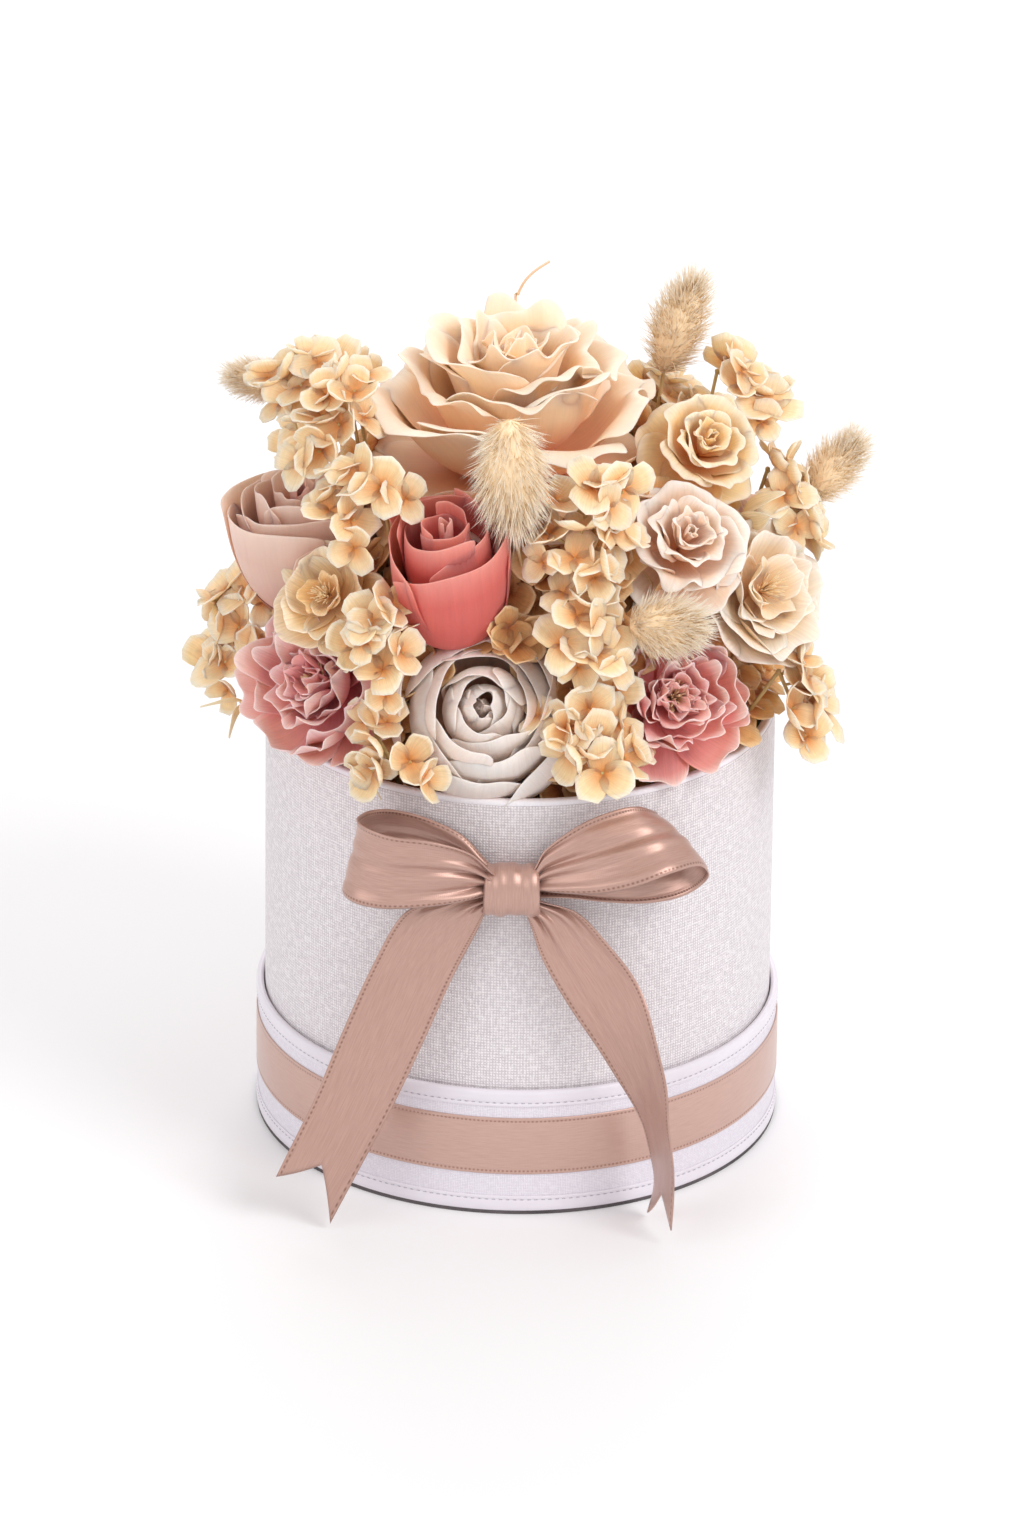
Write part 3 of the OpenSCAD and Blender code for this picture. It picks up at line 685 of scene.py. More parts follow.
def knot_piece():
    """The middle band: ribbon turned under at both sides, wrapped over the front from top to bottom."""
    piece = own_copy(SHEET, "satin_knot")
    s, t = blank[:, 0], (blank[:, 1] + 1) / 2
    path = through(KNOT_PATH, t)
    ahead = through(KNOT_PATH, np.minimum(t + 0.01, 1)) - path
    ahead[t > 0.985] = (0, 0.6, 0.8)
    ahead /= np.linalg.norm(ahead, axis=1)[:, None]
    out = np.stack([np.zeros_like(t), ahead[:, 2], -ahead[:, 1]], 1)
    arc = np.abs(s) * RIBBON / 2
    half = 7.3 + 0.9 * t
    turn_r = 0.75
    bend = np.clip((arc - half) / turn_r, 0, math.pi)
    under = np.maximum(arc - half - math.pi * turn_r, 0)
    x = np.sign(s) * (np.minimum(arc, half) + turn_r * np.sin(bend) - under)
    depth = -turn_r * (1 - np.cos(bend))
    creases = 0.36 * np.cos(2.6 * math.pi * s + 0.6 + 2.4 * t) + 0.3 * np.sin(5.3 * math.pi * s + 1.0 - 1.5 * t)
    creases = creases * (arc < half) * np.minimum(1, (half - np.minimum(arc, half)) / 1.5)
    lift = depth + creases * 0.8
    points = path + out * lift[:, None]
    points[:, 0] = x
    move_to(piece, points + np.array(KNOT))
    mark(piece, "cloth", np.stack([s * RIBBON / 2, t * 42, np.zeros_like(s)], 1))
    thicken(piece, SATIN)
    finish_piece(piece, "bow", "box", "satin_ribbon", "bow_knot")


knot_piece()
discard(SHEET)


# ---------------------------------------------------------------- flower heads

# A bloom is rows of petals, from its middle (0) to its outside (1). Each line below gives, in radii of
# the bloom: the place in that order, then a petal's profile as four (radius, height) handles, and its
# half width, how much its sides cup, its ruffle, and how far its tip rolls back
KINDS = {
    "garden": [
        (0.00, 0.00, -0.10, 0.05, 0.15, 0.09, 0.33, 0.07, 0.41, 0.16, 0.00, 0.040, 0.00, 0.40),
        (0.14, 0.01, -0.20, 0.13, 0.05, 0.18, 0.32, 0.21, 0.44, 0.26, 0.01, 0.055, 0.03, 0.40),
        (0.28, 0.02, -0.30, 0.25, -0.05, 0.28, 0.33, 0.36, 0.45, 0.36, 0.02, 0.062, 0.05, 0.40),
        (0.43, 0.03, -0.35, 0.37, -0.18, 0.39, 0.31, 0.50, 0.41, 0.45, 0.03, 0.066, 0.07, 0.36),
        (0.57, 0.03, -0.38, 0.49, -0.30, 0.49, 0.24, 0.64, 0.32, 0.54, 0.05, 0.068, 0.08, 0.32),
        (0.71, 0.04, -0.40, 0.60, -0.40, 0.60, 0.15, 0.80, 0.20, 0.60, 0.06, 0.060, 0.08, 0.28),
        (0.86, 0.05, -0.45, 0.72, -0.50, 0.72, 0.02, 0.98, 0.03, 0.64, 0.06, 0.056, 0.08, 0.24),
        (1.00, 0.06, -0.45, 0.70, -0.54, 0.90, -0.40, 0.98, -0.46, 0.64, 0.04, 0.050, 0.04, 0.24)],
    "bud": [
        (0.00, 0.00, -0.40, 0.08, 0.20, 0.14, 0.80, 0.07, 1.02, 0.26, 0.00, 0.020, 0.00, 0.60),
        (0.25, 0.00, -0.60, 0.26, -0.10, 0.34, 0.80, 0.26, 1.10, 0.54, 0.00, 0.025, 0.03, 0.70),
        (0.50, 0.02, -0.80, 0.52, -0.50, 0.60, 0.66, 0.44, 1.14, 0.90, 0.00, 0.030, 0.05, 0.80),
        (0.75, 0.10, -1.00, 0.80, -1.05, 0.90, 0.56, 0.62, 1.10, 1.20, 0.00, 0.030, 0.10, 0.90),
        (1.00, 0.25, -1.18, 0.98, -1.20, 1.02, 0.40, 0.76, 0.92, 1.34, 0.00, 0.030, 0.16, 0.95)],
    "ball": [
        (0.00, 0.00, -0.10, 0.10, 0.10, 0.15, 0.46, 0.02, 0.68, 0.20, 0.00, 0.030, 0.00, 0.60),
        (0.25, 0.00, -0.30, 0.34, -0.10, 0.42, 0.46, 0.14, 0.74, 0.46, 0.00, 0.030, 0.00, 0.60),
        (0.50, 0.00, -0.50, 0.64, -0.35, 0.70, 0.42, 0.38, 0.70, 0.66, 0.00, 0.024, 0.02, 0.60),
        (0.75, 0.00, -0.70, 0.94, -0.65, 0.96, 0.36, 0.60, 0.64, 0.84, 0.00, 0.026, 0.03, 0.60),
        (1.00, 0.00, -0.80, 1.16, -0.85, 1.16, 0.16, 0.84, 0.46, 0.94, 0.00, 0.026, 0.04, 0.60)],
    "frill": [
        (0.00, 0.00, 0.00, 0.10, 0.10, 0.14, 0.30, 0.14, 0.44, 0.24, 0.04, 0.090, 0.02, 0.50),
        (0.30, 0.00, -0.10, 0.26, 0.00, 0.34, 0.28, 0.32, 0.52, 0.34, 0.08, 0.092, 0.04, 0.45),
        (0.55, 0.00, -0.20, 0.48, -0.15, 0.60, 0.22, 0.54, 0.50, 0.42, 0.12, 0.088, 0.05, 0.40),
        (0.80, 0.00, -0.32, 0.72, -0.35, 0.90, 0.08, 0.80, 0.38, 0.50, 0.16, 0.080, 0.05, 0.35),
        (1.00, 0.00, -0.40, 0.80, -0.50, 1.06, -0.18, 1.02, 0.12, 0.54, 0.18, 0.070, 0.05, 0.30)],
    "cup": [
        (0.00, 0.00, -0.40, 0.10, 0.10, 0.18, 0.50, 0.10, 0.74, 0.26, 0.00, 0.030, 0.00, 0.50),
        (0.30, 0.00, -0.60, 0.34, -0.20, 0.48, 0.46, 0.36, 0.80, 0.56, 0.00, 0.036, 0.05, 0.55),
        (0.60, 0.02, -0.90, 0.68, -0.75, 0.84, 0.30, 0.68, 0.74, 0.96, 0.00, 0.036, 0.08, 0.65),
        (1.00, 0.06, -1.25, 1.00, -1.35, 1.22, 0.10, 1.02, 0.60, 1.42, 0.00, 0.020, 0.10, 0.75)],
    "open": [
        (0.00, 0.00, -0.10, 0.20, -0.05, 0.36, 0.24, 0.40, 0.46, 0.40, 0.08, 0.070, 0.04, 0.40),
        (0.50, 0.00, -0.20, 0.40, -0.20, 0.66, 0.10, 0.74, 0.36, 0.60, 0.10, 0.070, 0.06, 0.32),
        (1.00, 0.00, -0.25, 0.50, -0.35, 0.86, -0.15, 1.05, 0.10, 0.74, 0.10, 0.060, 0.08, 0.28)],
    "floret": [
        (0.00, 0.02, -0.22, 0.45, -0.20, 0.86, 0.00, 0.84, 0.34, 0.58, 0.16, 0.040, 0.02, 0.34),
        (1.00, 0.02, -0.18, 0.40, -0.15, 0.80, -0.14, 1.10, 0.02, 0.64, 0.14, 0.050, 0.08, 0.30)],
}


# Where a kind of bloom differs from the usual one. CROWD is how much its rows crowd towards the middle,
# 1 when they don't. TAPER is how far a petal's corners fall behind its middle, in shares of its length.
# LEAN is how far one side of a petal stands above the other, in radii: (for every petal, at random).
# WILD is how irregular it grows, 1 for a usual one
CROWD = {"garden": 1.25, "frill": 1.1}
TAPER = {"bud": 0.1, "cup": 0.14, "ball": 0.2}
LEAN = {"bud": (0.17, 0.05), "ball": (0.07, 0.08), "cup": (0.08, 0.05), "frill": (0.0, 0.16),
        "garden": (0.0, 0.05)}
WILD = {"ball": 1.2, "bud": 0.6, "frill": 2.4, "open": 1.6, "garden": 1.9}


def bend(a, b, c, d, t):
    return a * (1 - t) ** 3 + 3 * b * t * (1 - t) ** 2 + 3 * c * t * t * (1 - t) + d * t ** 3


def petal_shape(s, t, row, turn, radius, rng, taper, lean):
    """Where a petal's grid goes, in millimetres from the middle of its bloom."""
    r0, z0, r1, z1, r2, z2, r3, z3, half, cup, ruffle, roll = (v * radius for v in row[:12])
    base = row[12]
    phase = rng.uniform(0, 2 * math.pi, 6)
    skew = rng.uniform(-0.12, 0.12)
    pull = taper * np.abs(s + skew) ** 2.8 + 0.03 * np.cos(2.5 * s + phase[0])
    along = t * (1 - pull * (0.25 + 0.75 * t))
    rho, z = bend(r0, r1, r2, r3, along), bend(z0, z1, z2, z3, along)
    opening = np.sin(np.clip(t / 0.7, 0, 1) * math.pi / 2) ** 0.9
    spread = half * (base + (1 - base) * opening) * (1 - 0.12 * t ** 4)
    wrap = np.maximum(rho, spread * 0.55)
    side = turn + s * spread / wrap
    edge = np.clip((np.maximum(t, np.abs(s) ** 1.5 * np.minimum(1, t * 1.6)) - 0.55) / 0.45, 0, 1) ** 2
    wave = np.sin(1.5 * math.pi * s + phase[1]) + 0.45 * np.sin(3.4 * math.pi * s + phase[2] + 2 * t)
    lift = np.sin(1.9 * math.pi * s + phase[3]) + 0.4 * np.sin(4.2 * math.pi * s + phase[4])
    z = z + cup * s ** 2 * t ** 1.5 + ruffle * edge * wave
    rho = rho + 0.8 * ruffle * edge * lift + roll * t ** 7 + 0.5 * roll * np.abs(s) ** 5 * t ** 2
    z = z - 0.55 * roll * t ** 9 + radius * rng.normal(*lean) * s * t ** 1.5
    rho = rho + 0.012 * radius * np.sin(3.1 * t + 2.2 * s + phase[5])
    return np.stack([rho * np.cos(side), rho * np.sin(side), z], 1)


def inner_share(order):
    """What petals near the middle add to their tone, which the finish turns to its inner colour."""
    return float(np.clip(1.2 - 3.2 * order, 0, 1))


def petals_of(name, blank_sheet, kind, radius, rows, count, seed, from_row=0.0, widen=1.0):
    """Every petal of a bloom as one mesh, its middle at the origin and its face up."""
    rng = np.random.default_rng(seed)
    flat = corners(blank_sheet)
    s, t = flat[:, 0], (flat[:, 1] + 1) / 2
    table = np.array(KINDS[kind])
    made = []
    turn = rng.uniform(0, 2 * math.pi)
    wild = WILD.get(kind, 1.0)
    taper, lean = TAPER.get(kind, 0.26), LEAN.get(kind, (0.0, 0.03))
    for i in range(rows):
        order = from_row + (1 - from_row) * (i / max(rows - 1, 1)) ** CROWD.get(kind, 1.0)
        row = np.array([np.interp(order, table[:, 0], table[:, k]) for k in range(1, table.shape[1])])
        row[8] *= widen
        number = count if i else max(3, count - 2)
        turn += math.pi / number + rng.uniform(-0.15, 0.15) + 0.4
        for k in range(number):
            own = row.copy()
            own[:8] *= rng.uniform(1 - 0.05 * wild, 1 + 0.05 * wild)
            own[7] += rng.uniform(-0.035, 0.035) * wild
            own[6] *= rng.uniform(1 - 0.06 * wild, 1 + 0.04 * wild)
            own[8] *= rng.uniform(1 - 0.14 * wild, 1 + 0.12 * wild)
            own[10] *= rng.uniform(0.7, 1.4)
            piece = own_copy(blank_sheet, name)
            place = turn + 2 * math.pi * (k + rng.uniform(-0.14, 0.14) * wild) / number
            move_to(piece, petal_shape(s, t, own, place, radius, rng, taper, lean))
            tone = rng.uniform(0, 1) + inner_share(order)
            mark(piece, "petal", np.stack([(s + 1) / 2, t, np.full_like(s, tone)], 1))
            made.append(piece)
    return join_all(made, name)


def stamens(name, count, length, spread, seed):
    """Fine threads with a small swollen tip, standing in the middle of a bloom."""
    rng = np.random.default_rng(seed)
    clear()
    bpy.ops.mesh.primitive_cone_add(vertices=4, radius1=0.22 * MM, radius2=0.14 * MM, depth=1 * MM,
                                    location=(0, 0, 0.5 * MM))
    thread = bpy.context.object
    bpy.ops.object.transform_apply(location=True, rotation=False, scale=False)
    bpy.ops.object.mode_set(mode="EDIT")
    bpy.ops.mesh.select_all(action="SELECT")
    bpy.ops.mesh.subdivide(number_cuts=1)
    bpy.ops.object.mode_set(mode="OBJECT")
    heights = corners(thread)[:, 2] / MM
    mark(thread, "petal", np.stack([heights * 0, heights, heights * 0], 1))
    places = []
    for _ in range(count):
        angle, lean = rng.uniform(0, 2 * math.pi), rng.uniform(0, spread)
        way = Vector((math.sin(lean) * math.cos(angle), math.sin(lean) * math.sin(angle), math.cos(lean)))
        stretch = Matrix.Diagonal((1, 1, length * rng.uniform(0.7, 1.1), 1))
        places.append(upright_to(way) @ stretch)
    piece = stamped(name, [thread], places, rng.uniform(0, 1, count))
    discard(thread)
    return piece


SLOTS = {"peach": "peach_petal", "coral": "coral_petal", "pearl": "pearl_petal", "pink": "pink_petal",
         "rose_pink": "rose_pink_petal", "mauve": "mauve_petal", "blush": "blush_petal", "cream": "cream_petal",
         "apricot": "apricot_petal", "straw": "straw_petal"}
# name, kind, radius, rows, petals in a row, tilt, turn, finish, seed, grid, widen, shift
BLOOMS = [
    ("peach_rose", "garden", 49, 7, 5, 0, 0, "peach", 31, 18, 1.08, (-3, 1, -5)),
    ("coral_rose", "bud", 20, 4, 3, 20, -14, "coral", 12, 12, 1.0, (0, 0, -1)),
    ("cream_ranunculus", "ball", 28, 6, 5, 58, 0, "pearl", 33, 12, 1.1, (-0.5, 0, 1)),
    ("pink_peony_left", "frill", 25.5, 6, 6, 60, -38, "pink", 14, 10, 1.0, (2, 0, 0)),
    ("pink_peony_right", "frill", 23, 6, 6, 60, 20, "rose_pink", 15, 10, 0.95, (-4, -2, 0)),
    ("mauve_rose", "cup", 21.5, 5, 3, 6, -34, "mauve", 16, 14, 1.0, (2, 0, -2)),
    ("blush_rose", "garden", 22, 5, 5, 44, 24, "blush", 37, 12, 1.1, (-1, 0, -1)),
    ("apricot_bloom", "garden", 19, 5, 5, 40, 30, "apricot", 18, 12, 1.1, (-1, 0, -1)),
    ("cream_bloom", "open", 23, 4, 5, 60, 44, "cream", 19, 12, 1.1, (-2, 0, 0)),
    ("speckled_bloom", "open", 17.5, 3, 5, 58, -34, "straw", 20, 10, 1.0, (2, 0, 0)),
    ("back_left_rose", "garden", 25, 6, 5, 58, -122, "blush", 21, 10, 1.0, (0, 0, 0)),
    ("back_peony", "frill", 23, 6, 8, 58, -162, "pink", 22, 9, 1.0, (0, 0, 0)),
    ("back_ranunculus", "ball", 24, 6, 5, 58, 158, "pearl", 23, 10, 1.1, (0, 0, 0)),
    ("back_right_rose", "garden", 25, 6, 5, 58, 118, "mauve", 24, 10, 1.0, (0, 0, 0)),
]
grids = {}
for name, kind, radius, rows, count, tilt, turn, finish, seed, grid, widen, shift in BLOOMS:
    if grid not in grids:
        grids[grid] = flat_sheet("petal_blank_%d" % grid, grid, grid)
    head = petals_of(name + "_petals", grids[grid], kind, radius, rows, count, seed, widen=widen)
    low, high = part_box(name)
    middle = (low + high) / 2 + Vector(shift) * MM
    facing = Matrix.Rotation(math.radians(turn), 4, "Z") @ Matrix.Rotation(math.radians(tilt), 4, "X")
    head.data.transform(Matrix.Translation(middle) @ facing)
    thicken(head, 0.4 if radius < 40 else 0.6, 1)
    finish_piece(head, finish, "bouquet", SLOTS[finish], name)
    if kind in ("open", "frill"):
        middle_threads = stamens(name + "_stamens", 60, radius * 0.42, 0.75, seed)
        middle_threads.data.transform(Matrix.Translation(middle) @ facing)
        finish_piece(middle_threads, "stamen", "bouquet", SLOTS[finish])


# ---------------------------------------------------------------- hydrangea florets

floret_blank = flat_sheet("floret_blank", 4, 4)
FLORETS = []
for i in range(7):
    openness = i / 6
    floret = petals_of("floret_template_%d" % i, floret_blank, "floret", 8.8, 1, 4, 40 + i, from_row=openness)
    thicken(floret, 0.35)
    FLORETS.append(floret)


# The petals of a floret reach further than this from its middle
FLORET_NECK = 3.8
# Florets whose middle would lie this near the large rose's middle are left out, so that none comes
# through its petals
ROSE = (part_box("peach_rose")[0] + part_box("peach_rose")[1]) / 2 / MM
ROSE_CLEAR = 50
# A whole turn at random
SPIN = (0, 6.28)


def floret_places(node):
    """The middle and the way out of each floret that the CAD sprig holds, in a steady order."""
    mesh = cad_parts[node].data
    points = corners(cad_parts[node]) / MM
    keys = {}
    index = []
    for p in np.round(points, 2):
        index.append(keys.setdefault(tuple(p), len(keys)))
    parent = list(range(len(keys)))

    def top_of(a):
        while parent[a] != a:
            parent[a] = parent[parent[a]]
            a = parent[a]
        return a

    for polygon in mesh.polygons:
        ring = [top_of(index[v]) for v in polygon.vertices]
        for other in ring[1:]:
            parent[top_of(other)] = ring[0]
            ring[0] = top_of(ring[0])
    unique = np.array(list(keys))
    groups = {}
    for a in range(len(keys)):
        groups.setdefault(top_of(a), []).append(a)
    found = []
    for members in groups.values():
        ring = unique[members]
        reach = np.linalg.norm(ring - ring.mean(0), axis=1)
        far, near = ring[reach > FLORET_NECK], ring[reach <= FLORET_NECK]
        way = far.mean(0) - near.mean(0)
        found.append((tuple(np.round(ring.mean(0), 2)), tuple(way / np.linalg.norm(way))))
    return sorted(found)


def sprig(node, seed):
    """Two florets for each one that the plain sprig holds, the second one lower and to a side."""
    rng = np.random.default_rng(seed)
    places, tones, picks = [], [], []
    for centre, way in floret_places(node):
        way = Vector(way)
        side = way.orthogonal().normalized()
        for extra in range(2):
            aim = (way + Vector(rng.normal(0, 0.3, 3))).normalized()
            size = rng.uniform(0.95, 1.2) if not extra else rng.uniform(0.75, 1.0)
            where = Vector(centre)
            if extra:
                swing = Matrix.Rotation(rng.uniform(0, 2 * math.pi), 3, way)
                where = where + (swing @ side) * rng.uniform(7, 9.5) - way * rng.uniform(1, 5)
                aim = (aim + (swing @ side) * 0.7).normalized()
            place = Matrix.Translation(where) @ upright_to(aim, rng.uniform(*SPIN)) @ Matrix.Scale(size, 4)
            tone, pick = rng.uniform(0, 1), int(rng.integers(0, len(FLORETS)))
            if (where - ROSE).length > ROSE_CLEAR:
                places.append(place)
                tones.append(tone)
                picks.append(pick)
    order = sorted(range(len(places)), key=lambda i: picks[i])
    pieces = []
    for pick in range(len(FLORETS)):
        own = [i for i in order if picks[i] == pick]
        if own:
            pieces.append(stamped(node + "_part", [FLORETS[pick]], [places[i] for i in own],
                                  [tones[i] for i in own]))
    whole = join_all(pieces, node + "_florets")
    finish_piece(whole, "floret", "bouquet", "floret", node)


sprigs = sorted(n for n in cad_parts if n.startswith("sprig_") and n != "sprig_stems")
for number, node in enumerate(sprigs):
    sprig(node, 100 + number)


# Florets listed where the rim would otherwise show the foam
RIM_FILL = [(66, -28, 150), (74, -18, 151), (66, -40, 150), (76, -6, 151), (63, -20, 154), (58, -30, 156),
            (71, -28, 151), (76, 5, 151), (72, 12, 150), (-66, -26, 150), (-60, -38, 149), (22, -66, 149)]
# Florets in the body of the understorey and in two rings at the rim
PACKED, RINGED = 620, 110
# The angle between one and the next, which spreads them evenly
GOLDEN = 2.39996


def understorey():
    """Hydrangea packed under and between the blooms, so that neither foam nor wires show through. Its florets
    take a darker copy of the floret finish: painted shade for their place under the blooms.
    """
    rng = np.random.default_rng(77)
    centres = []
    for line in BLOOMS:
        low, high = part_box(line[0])
        centres.append(((low + high) / 2 / MM, line[2]))
    groups = [[] for _ in FLORETS]
    tones = [[] for _ in FLORETS]

    def plant(where, aim, sizes, tone_range):
        pick = int(rng.integers(0, len(FLORETS)))
        place = Matrix.Translation(where) @ upright_to(aim, rng.uniform(*SPIN))
        if sizes:
            place = place @ Matrix.Scale(rng.uniform(*sizes), 4)
        groups[pick].append(place)
        tones[pick].append(rng.uniform(*tone_range))

    for i in range(PACKED):
        height = (i + 0.5) / PACKED
        angle = i * GOLDEN + rng.uniform(-0.2, 0.2)
        z = 132 + 98 * height + rng.uniform(-3, 3)
        r = (69 - 24 * height ** 2.5 - 6 * (1 - height) ** 4) + rng.uniform(-9, 5)
        where = Vector((r * math.cos(angle), r * math.sin(angle), z))
        if any((where - c).length < size * (1.14 if size > 40 else 0.84) for c, size in centres):
            continue
        if z < RIM_Z + 9:
            reach = min(r, LINING_R - 11) / r
            where = Vector((where.x * reach, where.y * reach, max(z, 136)))
        aim = Vector((math.cos(angle), math.sin(angle), 0.45)) + Vector(rng.normal(0, 0.35, 3))
        plant(where, aim, (0.85, 1.35), (0, 0.8))
    for i in range(RINGED):
        angle = i * 4 * math.pi / RINGED + rng.uniform(-0.05, 0.05)
        r = LINING_R - 7 - 9 * (i % 2) + rng.uniform(-2, 2)
        z = RIM_Z + 6.5 + 3 * (i % 2) + rng.uniform(0, 5)
        where = Vector((r * math.cos(angle), r * math.sin(angle), z))
        if min((where - c).length / size for c, size in centres) < 0.86:
            continue
        aim = Vector((math.cos(angle), math.sin(angle), 0.9)) + Vector(rng.normal(0, 0.2, 3))
        plant(where, aim, (0.8, 1.0), (0, 0.9))
    for x, y, z in RIM_FILL:
        plant((x, y, z), Vector((x, y, 110)) + Vector(rng.normal(0, 12, 3)), None, (0.3, 1))
    pieces = [stamped("understorey_part", [FLORETS[k]], groups[k], tones[k])
              for k in range(len(FLORETS)) if groups[k]]
    finish_piece(join_all(pieces, "hydrangea_understorey"), "under", "bouquet", "floret")


understorey()


# ---------------------------------------------------------------- bunny tail grass

def awn_template(lean):
    """One hair: a three-sided spike, one unit long, that bows to one side."""
    clear()
    bpy.ops.mesh.primitive_cone_add(vertices=3, radius1=1, radius2=0.0, depth=1, location=(0, 0, 0.5))
    hair = bpy.context.object
    bpy.ops.object.transform_apply(location=True, rotation=False, scale=False)
    bpy.ops.object.mode_set(mode="EDIT")
    bpy.ops.mesh.select_all(action="SELECT")
    bpy.ops.mesh.bisect(plane_co=(0, 0, 0.35), plane_no=(0, 0, 1))
    bpy.ops.mesh.select_all(action="SELECT")
    bpy.ops.mesh.bisect(plane_co=(0, 0, 0.7), plane_no=(0, 0, 1))
    bpy.ops.object.mode_set(mode="OBJECT")
    points = corners(hair)
    height = points[:, 2].copy()
    points[:, :2] *= 0.013 * (0.4 + 0.9 * (1 - height))[:, None] / np.maximum(1 - height, 0.25)[:, None]
    points[:, 0] += lean * height ** 2
    hair.data.vertices.foreach_set("co", (points * MM).ravel())
    hair.data.update()
    mark(hair, "petal", np.stack([height * 0, height, height * 0], 1))
    return hair


AWNS = [awn_template(lean) for lean in (0.05, 0.12, 0.2, -0.06)]
HAIRS = 1500


def grass_head(node, seed, longer=1.0, wider=1.12):
    """A soft core with hairs that splay at its foot and close towards its tip."""
    rng = np.random.default_rng(seed)
    points = corners(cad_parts[node]) / MM
    middle = points.mean(0)
    spread = points - middle
    main = np.linalg.eigh(spread.T @ spread)[1][:, 2]
    run = spread @ main
    foot, tip = middle + main * run.min(), middle + main * run.max()
    if np.linalg.norm(foot[:2]) > np.linalg.norm(tip[:2]) or (abs(main[2]) > 0.8 and foot[2] > tip[2]):
        foot, tip = tip, foot
    axis = (tip - foot) / np.linalg.norm(tip - foot)
    length = np.linalg.norm(tip - foot) * longer
    wide = np.linalg.norm(spread - np.outer(run, main), axis=1).max() * wider
    core_long, core_wide = length * 0.84, wide * 0.56
    clear()
    bpy.ops.mesh.primitive_uv_sphere_add(segments=20, ring_count=14, radius=1)
    core = bpy.context.object
    body = corners(core)
    height = (body[:, 2] + 1) / 2
    fat = 0.75 + 0.5 * height * (1 - height) * 2
    body = np.stack([body[:, 0] * core_wide * fat, body[:, 1] * core_wide * fat, height * core_long], 1)
    body += 0.25 * np.sin(body * 3.1 + seed)
    move_to(core, body)
    mark(core, "petal", np.stack([height * 0, height * 0 + 0.3, height * 0 + 0.6], 1))
    places, tones = [], []
    for _ in range(HAIRS):
        h = rng.uniform(0.0, 1.0) ** 0.9
        angle = rng.uniform(0, 2 * math.pi)
        bulge = 2 * math.sqrt(max(h * (1 - h), 0.0)) * core_wide * (0.75 + h * (1 - h))
        where = Vector((bulge * math.cos(angle) * 0.9, bulge * math.sin(angle) * 0.9, h * core_long))
        splay = math.radians(rng.normal(64 - 44 * h, 8))
        way = Vector((math.sin(splay) * math.cos(angle), math.sin(splay) * math.sin(angle), math.cos(splay)))
        way = (way + Vector(rng.normal(0, 0.12, 3))).normalized()
        long = (wide * 0.66 + 0.05 * length * h) * rng.uniform(0.6, 1.15)
        turn = upright_to(way, rng.uniform(*SPIN))
        places.append(Matrix.Translation(where) @ turn @ Matrix.Scale(long, 4))
        tones.append(rng.uniform(0, 1))
    hairs = stamped(node + "_awns", AWNS, places, tones)
    whole = join_all([hairs, core], node + "_head")
    whole.data.transform(Matrix.Translation(Vector(foot) * MM) @ upright_to(axis))
    only(whole)
    bpy.ops.object.shade_smooth()
    finish_piece(whole, "awn", "bouquet", "grass_head", node)


# Heads that stand fuller than the plain shape they replace
GROWN = {"bunny_tail_front": (1.04, 1.35), "bunny_tail_low": (1.15, 1.25)}
tails = sorted(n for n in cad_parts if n.startswith("bunny_tail_"))
for number, node in enumerate(tails):
    grass_head(node, 200 + number, *GROWN.get(node, ()))


# ---------------------------------------------------------------- leaves and the stretches between

leaf_blank = flat_sheet("leaf_blank", 6, 10)


def leaf_blade(name, foot, way, long, wide, roll, seed):
    rng = np.random.default_rng(seed)
    flat = corners(leaf_blank)
    s, t = flat[:, 0], (flat[:, 1] + 1) / 2
    half = wide / 2 * np.sin(math.pi * t ** 0.8) ** 0.8 + 0.25
    x, y = s * half, t * long
    z = 0.35 * np.abs(s) * half + 0.06 * long * np.sin(2.2 * t + rng.uniform(0, 2)) + 0.3 * np.sin(7 * t) * s
    blade = own_copy(leaf_blank, name)
    move_to(blade, np.stack([x, z, y], 1))
    blade.data.transform(Matrix.Translation(Vector(foot) * MM) @ upright_to(way, roll))
    mark(blade, "petal", np.stack([(s + 1) / 2, t, np.full_like(s, rng.uniform(0, 1))], 1))
    return blade


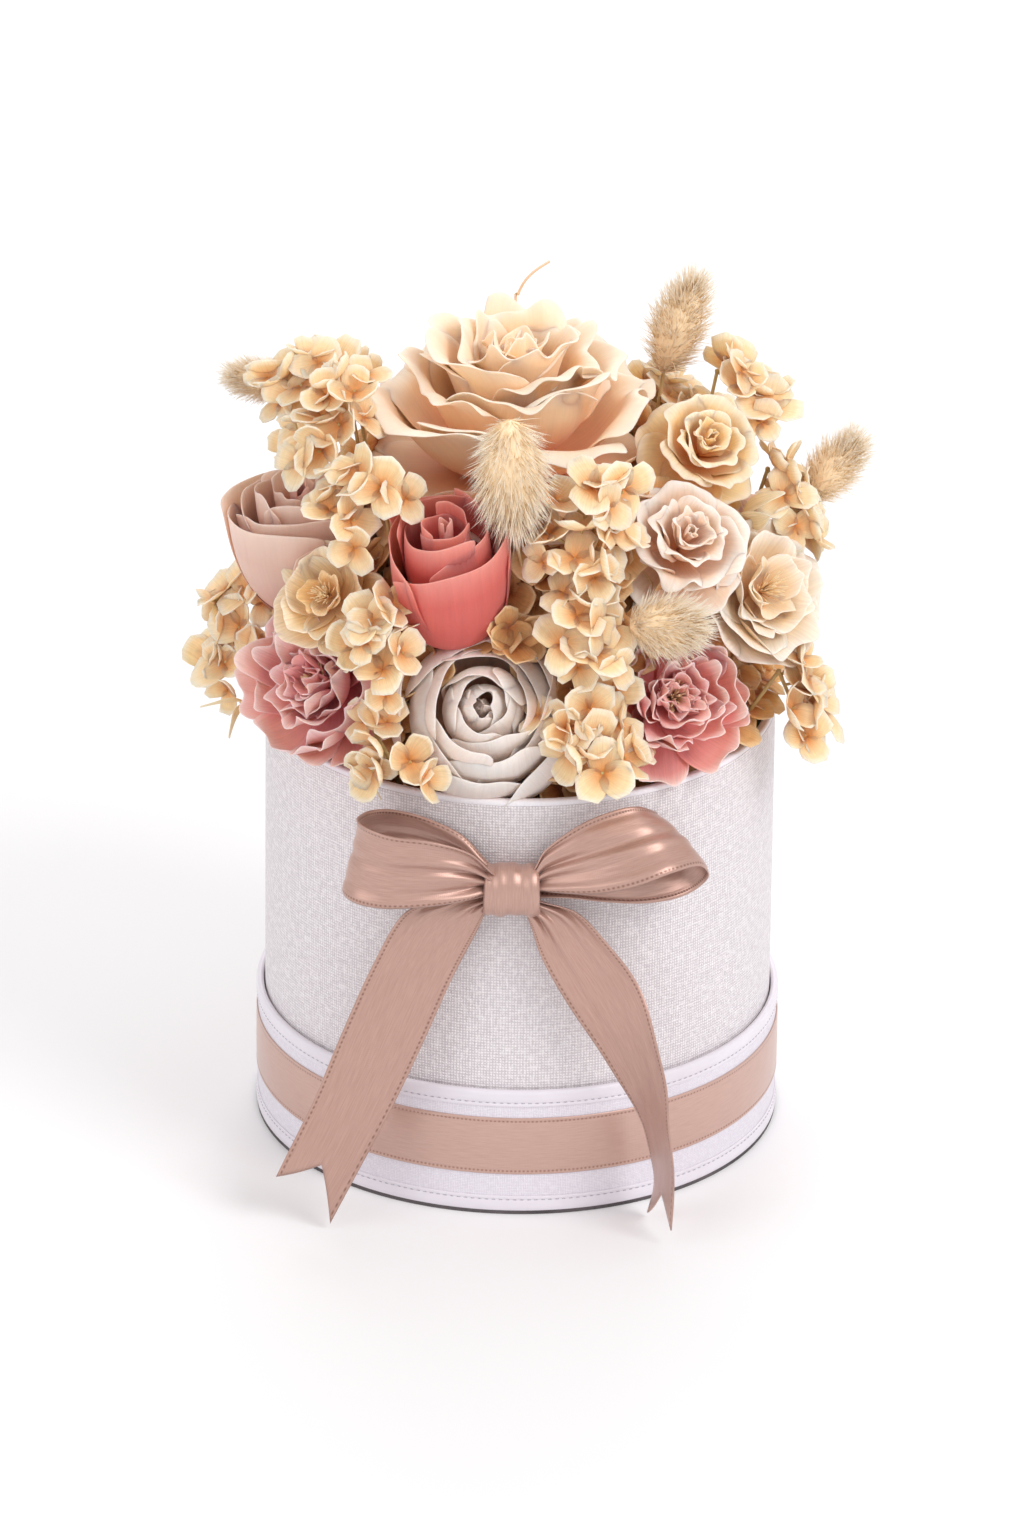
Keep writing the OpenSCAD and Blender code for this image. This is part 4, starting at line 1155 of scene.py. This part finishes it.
def stalk(name, route, thick):
    """A thin round stalk along a few points."""
    clear()
    bpy.ops.mesh.primitive_cylinder_add(vertices=8, radius=1, depth=2, end_fill_type="NGON")
    rod = bpy.context.object
    rod.name = name
    bpy.ops.object.mode_set(mode="EDIT")
    for k in range(1, 16):
        bpy.ops.mesh.select_all(action="SELECT")
        bpy.ops.mesh.bisect(plane_co=(0, 0, -1 + k / 8), plane_no=(0, 0, 1))
    bpy.ops.object.mode_set(mode="OBJECT")
    points = corners(rod)
    t = (points[:, 2] + 1) / 2
    centre = through(route, t)
    ahead = through(route, np.minimum(t + 0.01, 1)) - through(route, np.maximum(t - 0.01, 0))
    ahead /= np.linalg.norm(ahead, axis=1)[:, None]
    side = np.cross(ahead, (0.0, 1.0, 0.1))
    side /= np.linalg.norm(side, axis=1)[:, None]
    up = np.cross(side, ahead)
    move_to(rod, centre + (side * points[:, :1] + up * points[:, 1:2]) * thick)
    only(rod)
    bpy.ops.object.mode_set(mode="EDIT")
    bpy.ops.mesh.select_all(action="SELECT")
    bpy.ops.mesh.normals_make_consistent(inside=False)
    bpy.ops.object.mode_set(mode="OBJECT")
    bpy.ops.object.shade_smooth_by_angle(angle=0.9)
    mark(rod, "petal", np.stack([t * 0, t * 0.2, t * 0 + 0.5], 1))
    return rod


# The route of the stalk, then each blade: its foot, its way, length, width and roll
LEAVES = {
    "leaf_left": ([(-44, -12, 122), (-62, -20, 148), (-72, -26, 157), (-80, -29, 156), (-87, -32, 151)],
                  [((-86, -31.5, 151), (-0.9, 0.1, -0.12), 14, 5, 0.5),
                   ((-85.5, -31.5, 151), (-0.4, -0.45, -0.8), 12, 4.5, 1.2)]),
    "leaf_right": ([(42, -4, 122), (56, -9, 170), (69, -15, 210)],
                   [((68.5, -15, 209), (0.7, -0.25, 0.6), 17, 8, 0.3),
                    ((68.5, -15, 209), (0.5, -0.7, 0.35), 15, 7, 2.0)]),
}
for name, (route, blades) in LEAVES.items():
    parts = [leaf_blade(name + "_blade", *blade, seed=300 + i) for i, blade in enumerate(blades)]
    leaf_piece = join_all(parts, name + "_blades")
    thicken(leaf_piece, 0.35, 1)
    leaf_piece = join_all([leaf_piece, stalk(name + "_stalk", route, 0.8)], name + "_dried")
    finish_piece(leaf_piece, "leaf", "bouquet", "dried_leaf", name)

curl = stalk("tendril_curl", [(0, 33, 122), (-1.5, 45, 187), (-3, 55.6, 248), (-2.3, 56, 253), (-0.3, 56, 257.5),
                              (2.9, 56, 261.2), (7.6, 56, 264.6)], 0.45)
finish_piece(curl, "tendril", "bouquet", "dried_leaf", "tendril")

discard(floret_blank, leaf_blank, *FLORETS, *AWNS, *grids.values())


# ---------------------------------------------------------------- the plain CAD pieces keep their shape

PLAIN = {
    "lid_floor": "board", "lid_wall": "board", "lid_lining": "lining", "lid_cover": "lid_paper",
    "box_floor": "board", "box_wall": "board", "box_cover": "embossed", "box_lining": "lining",
    "foam_liner": "cup", "foam_block": "foam", "bloom_wires": "wire", "grass_stalks": "stalk",
    "sprig_stems": "stem",
}
for name, finish in PLAIN.items():
    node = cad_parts[name]
    if not node.material_slots:
        node.data.materials.append(FINISH[finish])
    for slot in node.material_slots:
        slot.material = FINISH[finish]
